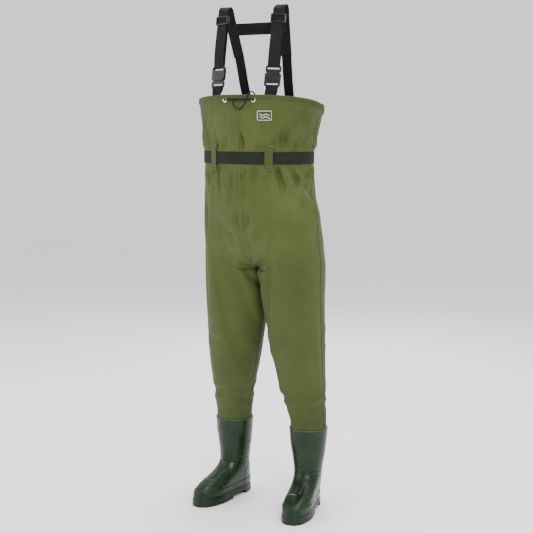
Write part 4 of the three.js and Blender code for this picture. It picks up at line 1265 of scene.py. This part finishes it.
def stations_of(node):
    """A swept band's rings from one end to the other, each four corners in order."""
    work = bmesh.new()
    work.from_mesh(nodes[node].data)
    bmesh.ops.remove_doubles(work, verts=work.verts, dist=WELD)
    flat = math.radians(0.3)
    bmesh.ops.dissolve_limit(work, angle_limit=flat, verts=work.verts, edges=work.edges)
    caps = [f for f in work.faces if len(f.verts) == 4]
    caps.sort(key=lambda f: f.calc_area())
    best = []
    for cap in caps:
        rings = walk_rings(list(cap.verts))
        if len(rings) > len(best):
            best = [[v.co.copy() for v in ring] for ring in rings]
        if 4 * len(best) == len(work.verts):
            break
    work.free()
    return np.array([[list(c) for c in ring] for ring in best])


def walk_rings(ring):
    """Follows the long edges from a ring of four corners, keeping the ring's shape."""
    rings, seen = [ring], {v.index for v in ring}
    while True:
        options = []
        for v in ring:
            options.append([e.other_vert(v) for e in v.link_edges if e.other_vert(v).index not in seen])
        best, best_error = None, 0.004
        for a in options[0]:
            for b in options[1]:
                for c in options[2]:
                    for d in options[3]:
                        following = (a, b, c, d)
                        if len({v.index for v in following}) < 4:
                            continue
                        error = ring_change(ring, following)
                        if error < best_error:
                            best, best_error = following, error
        if best is None:
            return rings
        ring = list(best)
        rings.append(ring)
        seen |= {v.index for v in ring}


def ring_change(ring, following):
    total = 0
    for i in range(4):
        side = (ring[i].co - ring[i - 1].co).length
        total += abs((following[i].co - following[i - 1].co).length - side)
    return total


def band_line(node):
    """The middle line of a swept band, the direction of its width, and its two sizes."""
    rings = stations_of(node)
    first, second = rings[0, 1] - rings[0, 0], rings[0, 2] - rings[0, 1]
    if np.linalg.norm(first) < np.linalg.norm(second):
        rings = np.roll(rings, -1, axis=1)
    across = unit((rings[:, 1] - rings[:, 0]) + (rings[:, 2] - rings[:, 3]))
    width = np.linalg.norm(rings[0, 1] - rings[0, 0])
    thickness = np.linalg.norm(rings[0, 2] - rings[0, 1])
    return rings.mean(axis=1), across, width, thickness


def web_piece(node, material, step):
    """A band of webbing that follows a CAD band."""
    centres, across, width, thickness = band_line(node)
    line = resample(np.hstack([centres, across]), step)
    centres, across = line[:, :3], unit(line[:, 3:])
    piece = ribbon(node + "_woven", centres, across, width, thickness, material)
    return piece, centres, across


def clear_of_fabric(centres, least):
    """Moves points that are nearer the fabric's outer face than least, or inside it, out to it."""
    moved = []
    for point in centres:
        place, normal, _, distance = outer_tree.find_nearest(Vector(point))
        height = (Vector(point) - place).dot(normal)
        if distance < 0.012 and height < least:
            point = np.array(Vector(point) + normal * (least - height))
        moved.append(point)
    return np.array(moved)


def band_frame(centres, across, at):
    """A place along a band, given as a share of its length, with its directions."""
    i = int(round(at * (len(centres) - 1)))
    i = min(max(i, 1), len(centres) - 2)
    along = unit(centres[i + 1] - centres[i - 1])
    side = unit(across[i] - along * (across[i] @ along))
    return centres[i], side, along, np.cross(along, side)


def box_of_stitches(frame_at, width, length, out):
    """Stitch rows round a box and across it, on the face of a band."""
    middle, side, along, face = frame_at
    corners = [(-1, -1), (1, -1), (1, 1), (-1, 1), (-1, -1)]
    runs = list(zip(corners, corners[1:]))
    runs += [((-1, -1), (1, 1)), ((1, -1), (-1, 1))]
    lines = []
    for start, end in runs:
        ends = []
        for x, y in (start, end):
            ends.append(middle + side * x * width / 2 + along * y * length / 2 + face * out)
        steps = np.linspace(0, 1, 8)[:, None]
        route = ends[0] + (ends[1] - ends[0]) * steps
        lines.append((route, np.tile(face * (1 if out > 0 else -1), (8, 1))))
    return lines


def bar_tack(frame_at, width, out, rows=4, gap=0.0011):
    """Close rows of thread across a band."""
    middle, side, along, face = frame_at
    lines = []
    for row in range(rows):
        shift = along * (row - (rows - 1) / 2) * gap
        ends = [middle + shift + side * e * width / 2 + face * out for e in (-1, 1)]
        steps = np.linspace(0, 1, 6)[:, None]
        route = ends[0] + (ends[1] - ends[0]) * steps
        lines.append((route, np.tile(face * (1 if out > 0 else -1), (6, 1))))
    return lines


STITCH_OUT = 0.0011  # from the middle of a band to the thread on its face
STRAP_STEP, FRONT_STEP = 0.004, 0.0022


def make_suspenders():
    rows = []
    for word in ("left", "right"):
        node = word + "_shoulder_strap"
        stands_for(web_piece(node, WEBBING, STRAP_STEP)[0], node)
        node = word + "_back_elastic"
        elastic, centres, across = web_piece(node, ELASTIC, STRAP_STEP)
        stands_for(elastic, node)
        for out in (STITCH_OUT, -STITCH_OUT):
            rows += box_of_stitches(band_frame(centres, across, 0.045), 0.026, 0.016, out)
        node = word + "_front_tab"
        stands_for(web_piece(node, WEBBING, FRONT_STEP)[0], node)
        node = word + "_front_loop"
        loop, centres, _ = web_piece(node, WEBBING, FRONT_STEP)
        finished(loop, SLOTS[node], node, body=None)
        bottom = centres[centres[:, 2].argmin()]
        top = centres[centres[:, 2].argmax()]
        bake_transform(loop)
    cross, centres, across = web_piece("cross_strap", WEBBING, STRAP_STEP)
    stands_for(cross, "cross_strap")
    for at in (0.08, 0.92):
        for out in (STITCH_OUT, -STITCH_OUT):
            rows += box_of_stitches(band_frame(centres, across, at), 0.026, 0.022, out)
    finished(stitches("strap_stitches", rows, DARK_THREAD), "black_webbing")


make_suspenders()


# ---------- Belt ----------

BELT_WIDTH, BELT_THICKNESS = 0.038, 0.0018


def belt_outline():
    """The belt's outline at its middle height, as one closed run of points."""
    work = bmesh.new()
    work.from_mesh(nodes["waist_belt"].data)
    bmesh.ops.remove_doubles(work, verts=work.verts, dist=WELD)
    cut = bmesh.ops.bisect_plane(
        work,
        geom=everything(work),
        plane_co=(0, 0, BELT_Z + 0.0031),
        plane_no=(0, 0, 1),
        clear_outer=True,
        clear_inner=True,
    )
    edges = [e for e in cut["geom_cut"] if isinstance(e, bmesh.types.BMEdge)]
    around = {}
    for edge in edges:
        for v in edge.verts:
            around.setdefault(v, []).append(edge.other_vert(v))
    start = next(iter(around))
    run, before = [start], None
    while True:
        following = [v for v in around[run[-1]] if v is not before]
        if not following or following[0] is start:
            break
        before = run[-1]
        run.append(following[0])
        if len(run) > 2000:
            break
    points = np.array([list(v.co) for v in run])
    work.free()
    arriving = unit(points - np.roll(points, 1, axis=0))
    leaving = unit(np.roll(points, -1, axis=0) - points)
    return points[(arriving * leaving).sum(axis=1) < 0.9998]


def belt_line():
    """The middle line of the belt, from the end in the housing to the end in the plug."""
    points = belt_outline()
    count = len(points)
    gaps = np.linalg.norm(np.roll(points, -1, axis=0) - points, axis=1)
    ends = []
    for i in np.argsort(gaps):
        before = unit(points[i] - points[i - 1])
        here = unit(points[(i + 1) % count] - points[i])
        after = unit(points[(i + 2) % count] - points[(i + 1) % count])
        if abs(gaps[i] - BELT_THICKNESS) < 2e-4 and before @ here < 0.3 and here @ after < 0.3:
            ends.append(int(i))
    first, last = sorted(ends[:2])
    wall = points[first + 1 : last + 1]
    other = np.vstack([points[last + 1 :], points[: first + 1]])[::-1]
    wall = resample(wall, 0.002)
    away = unit(np.cross(np.gradient(wall, axis=0), (0, 0, 1)))
    nearest = [np.linalg.norm(wall[0] + away[0] * s * BELT_THICKNESS - other[0]) for s in (1, -1)]
    sign = 1 if nearest[0] < nearest[1] else -1
    line = wall + away * sign * BELT_THICKNESS / 2
    line[:, 2] = BELT_Z
    return line


def make_belt():
    line = clear_of_fabric(belt_line(), 0.0017)
    for _ in range(3):
        line[1:-1] = (line[:-2] + 2 * line[1:-1] + line[2:]) / 4
    across = np.tile((0.0, 0.0, 1.0), (len(line), 1))
    belt = ribbon("waist_belt_woven", line, across, BELT_WIDTH, BELT_THICKNESS, BELT_WEB)
    finished(belt, SLOTS["waist_belt"], "waist_belt", body=None)
    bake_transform(belt)


def make_belt_loops():
    rows = []
    for face in ("front", "back"):
        for word in ("left", "right"):
            node = face + "_" + word + "_belt_loop"
            centres, across, width, thickness = band_line(node)
            line = resample(np.hstack([centres, across]), 0.002)
            centres, across = line[:, :3], unit(line[:, 3:])
            for i, point in enumerate(centres):
                place, normal, _, _ = outer_tree.find_nearest(Vector(point))
                height = (Vector(point) - place).dot(normal)
                over_belt = 1 - smoothstep(abs(point[2] - BELT_Z), 0.0200, 0.0250)
                least = 0.0011 + 0.0030 * float(over_belt)
                centres[i] = np.array(place + normal * max(least, min(height, least + 0.0012)))
            for _ in range(2):
                centres[1:-1] = (centres[:-2] + 2 * centres[1:-1] + centres[2:]) / 4
            # The darker fabric copy paints shade on the loops.
            loop = ribbon(node + "_sewn", centres, across, width, thickness, OLIVE_SHADED)
            stands_for(loop, node)
            for at in (0.055, 0.20, 0.80, 0.945):
                frame_at = band_frame(centres, across, at)
                outward = frame_at[3] @ np.array((frame_at[0][0], frame_at[0][1], 0)) > 0
                rows += bar_tack(frame_at, 0.021, 0.0010 if outward else -0.0010)
    finished(stitches("belt_loop_tacks", rows, THREAD, pitch=0.0018, length=0.0016), "coated_fabric")


make_belt()
make_belt_loops()


# ---------- Hem linings inside ----------

LINING_DROPS = (0.0022, 0.0060, 0.0080, 0.0095, 0.0115, 0.0140, 0.0165, 0.0185, 0.0200, 0.0240, 0.0315)
LINING_INSET, LINING_THICKNESS, TUNNEL_DEPTH = 0.0026, 0.0010, 0.0066


def make_lining(word, face):
    """The facing inside a hem. The front one has a tunnel for the drawcord."""
    node = word + "_hem_facing"
    rows = []
    for drop in LINING_DROPS:
        in_tunnel = 1 - smoothstep(abs(drop - EYELET_DROP), 0.0035, 0.0070)
        depth = LINING_INSET + (TUNNEL_DEPTH * float(in_tunnel) if face < 0 else 0)
        points, normals = hem_line(face, drop, 0.0)
        share = np.abs(np.linspace(-1, 1, len(points)))
        if face < 0:
            depth = LINING_INSET + (depth - LINING_INSET) * (1 - smoothstep(share, 0.90, 0.97))
        rows.append(points - normals * np.asarray(depth).reshape(-1, 1))
    rows = np.array(rows)
    faces = grid_faces(*rows.shape[:2])
    lining = new_object(node + "_cloth", rows.reshape(-1, 3), faces, TAPE)
    set_attribute(lining, "cloth", rows.reshape(-1, 3))
    thicken(lining, LINING_THICKNESS, 0)
    return stands_for(lining, node)


make_lining("front", -1)
make_lining("back", 1)


# ---------- Drawcord ----------

CORD_WIDTH = 0.0044
CROSSING_Y = float(body_point(1, -1, 0, EYELET_Z)[1]) - 0.0043  # where it crosses the centre seam


def cord_curve(name, route, step=0.006):
    """A cord as one poly curve along a smooth line through the route."""
    line = resample(np.array(route), step)
    data = bpy.data.curves.new(name, "CURVE")
    data.dimensions = "3D"
    data.bevel_depth = CORD_WIDTH / 2
    data.bevel_resolution = 5
    spline = data.splines.new("POLY")
    spline.points.add(len(line) - 1)
    for point, place in zip(spline.points, line):
        point.co = (*place, 1)
    data.use_fill_caps = True
    data.materials.append(CORD)
    cord = bpy.data.objects.new(name, data)
    bpy.context.scene.collection.objects.link(cord)
    return cord, line, float(np.linalg.norm(np.diff(line, axis=0), axis=1).sum())


# The cord's way out through an eyelet, and the hanging loop's points from its start: millimetres.
THROUGH_EYELET = ((6, -5.9), (2.6, -5.5), (0.9, -3.6), (0, -1), (-1, 2), (-4.4, 4.3))
LOOP_ROUTE = ((0, 0, 0), (1, -1, -12), (9, -1, -25), (24, -1, -30), (38, -1, -20), (48, 0, 0),
              (56, 1, 18), (60, 9, 23), (62, 24, 19), (63, 30, 5), (63, 31, -16))


def make_drawcord():
    left, right = ([EYELETS[side].place(*at) for at in THROUGH_EYELET] for side in (1, -1))
    route = left + [np.array((0, CROSSING_Y, EYELET_Z))] + right[::-1]
    cord, line, length = cord_curve("drawcord_front_braid", route, 0.004)
    stands_for(cord, "drawcord_front")
    start = np.array((-0.014, CROSSING_Y - 0.0045, EYELET_Z + 0.001))
    route = [start + np.array(o) / 1000 for o in LOOP_ROUTE]
    loop, line, length = cord_curve("drawcord_loop_braid", route, 0.005)
    stands_for(loop, "drawcord_loop")


make_drawcord()
for side_word in ("left", "right"):
    tunnel = nodes["drawcord_" + side_word + "_tunnel"]
    tunnel.data.materials.clear()
    tunnel.data.materials.append(CORD)


# ---------- Chest label ----------

LABEL_X, LABEL_Z, LABEL_WIDTH, LABEL_HEIGHT = 0.108, 1.290, 0.058, 0.030


def label_sheet(name, width, height, out, thickness, material, outline=None):
    """A soft moulded patch that follows the bib, with round corners."""
    columns, rows = 30, 16
    points = []
    radius = min(0.004, height / 2)
    for r in range(rows + 1):
        v = (r / rows - 0.5) * height
        for c in range(columns + 1):
            u = (c / columns - 0.5) * width
            if outline:
                v_here = outline(u, r / rows)
            else:
                inset = max(abs(v) - (height / 2 - radius), 0)
                short = radius - math.sqrt(max(radius**2 - inset**2, 0))
                u = u * (1 - short / (width / 2))
                v_here = v
            guess = Vector((LABEL_X + u * 0.84, -0.20, LABEL_Z + v_here))
            hit = outer_tree.ray_cast(guess, Vector((-0.35, 0.94, 0)))[0]
            if hit is None:
                hit = outer_tree.find_nearest(guess)[0]
            place, normal, _, _ = outer_tree.find_nearest(hit)
            points.append(place + normal * out)
    patch = new_object(name, points, grid_faces(rows + 1, columns + 1), material)
    thick = patch.modifiers.new("thickness", "SOLIDIFY")
    thick.thickness = thickness
    thick.offset = 0
    edge = patch.modifiers.new("edge", "BEVEL")
    edge.width = thickness * 0.3
    edge.segments = 2
    edge.limit_method = "ANGLE"
    apply_modifiers(patch)
    return patch


def make_label():
    """A pale border, a dark field and two plain ripples."""
    back = label_sheet("label_border", LABEL_WIDTH, LABEL_HEIGHT, 0.0009, 0.0014, LABEL_PALE)
    finished(back, SLOTS["chest_label"], "chest_label")
    field = label_sheet("label_field", LABEL_WIDTH - 0.004, LABEL_HEIGHT - 0.004, 0.0012, 0.0014, LABEL)
    finished(field, SLOTS["chest_label"])
    for number, low in enumerate((-0.0065, 0.0015)):
        def ripple(u, share, low=low):
            return low + 0.0018 * math.sin(u * 260) + share * 0.0026

        name = "label_ripple_%d" % (number + 1)
        stripe = label_sheet(name, 0.040, 0.006, 0.0016, 0.0012, LABEL_PALE, ripple)
        finished(stripe, SLOTS["chest_label"])


make_label()
bpy.context.view_layer.update()


# ---------- Floor and light ----------

def make_stage():
    reach = 6.0
    floor = new_object(
        "floor",
        [(-reach, -reach, 0), (reach, -reach, 0), (reach, reach, 0), (-reach, reach, 0)],
        [(0, 1, 2, 3)],
        None,
    )
    look = Look("floor", 0.85, specular=0.2)
    look.color(look.mixed(look.noise(3.0, 2.0), srgb(250, 250, 250), srgb(246, 246, 246)))
    floor.data.materials.append(look.material)
    world = bpy.data.worlds.new("studio")
    world.use_nodes = True
    background = world.node_tree.nodes["Background"]
    background.inputs["Color"].default_value = (1, 1, 1, 1)
    background.inputs["Strength"].default_value = 1.15
    bpy.context.scene.world = world


LIGHTS = (  # name, place, size, watts
    ("key", (2.6, -2.6, 3.0), 1.4, 105),
    ("fill", (-2.6, -2.2, 1.9), 2.4, 45),
    ("top", (0.1, 0.4, 3.4), 2.2, 85),
    ("rim", (-1.2, 2.8, 2.2), 1.6, 45),
)


def make_lights():
    for name, place, size, watts in LIGHTS:
        data = bpy.data.lights.new(name, "AREA")
        data.size = size
        data.energy = watts
        lamp = bpy.data.objects.new(name, data)
        bpy.context.scene.collection.objects.link(lamp)
        lamp.location = place
        toward = Vector((0, 0, 0.85)) - Vector(place)
        lamp.rotation_euler = toward.to_track_quat("-Z", "Y").to_euler()


make_stage()
make_lights()
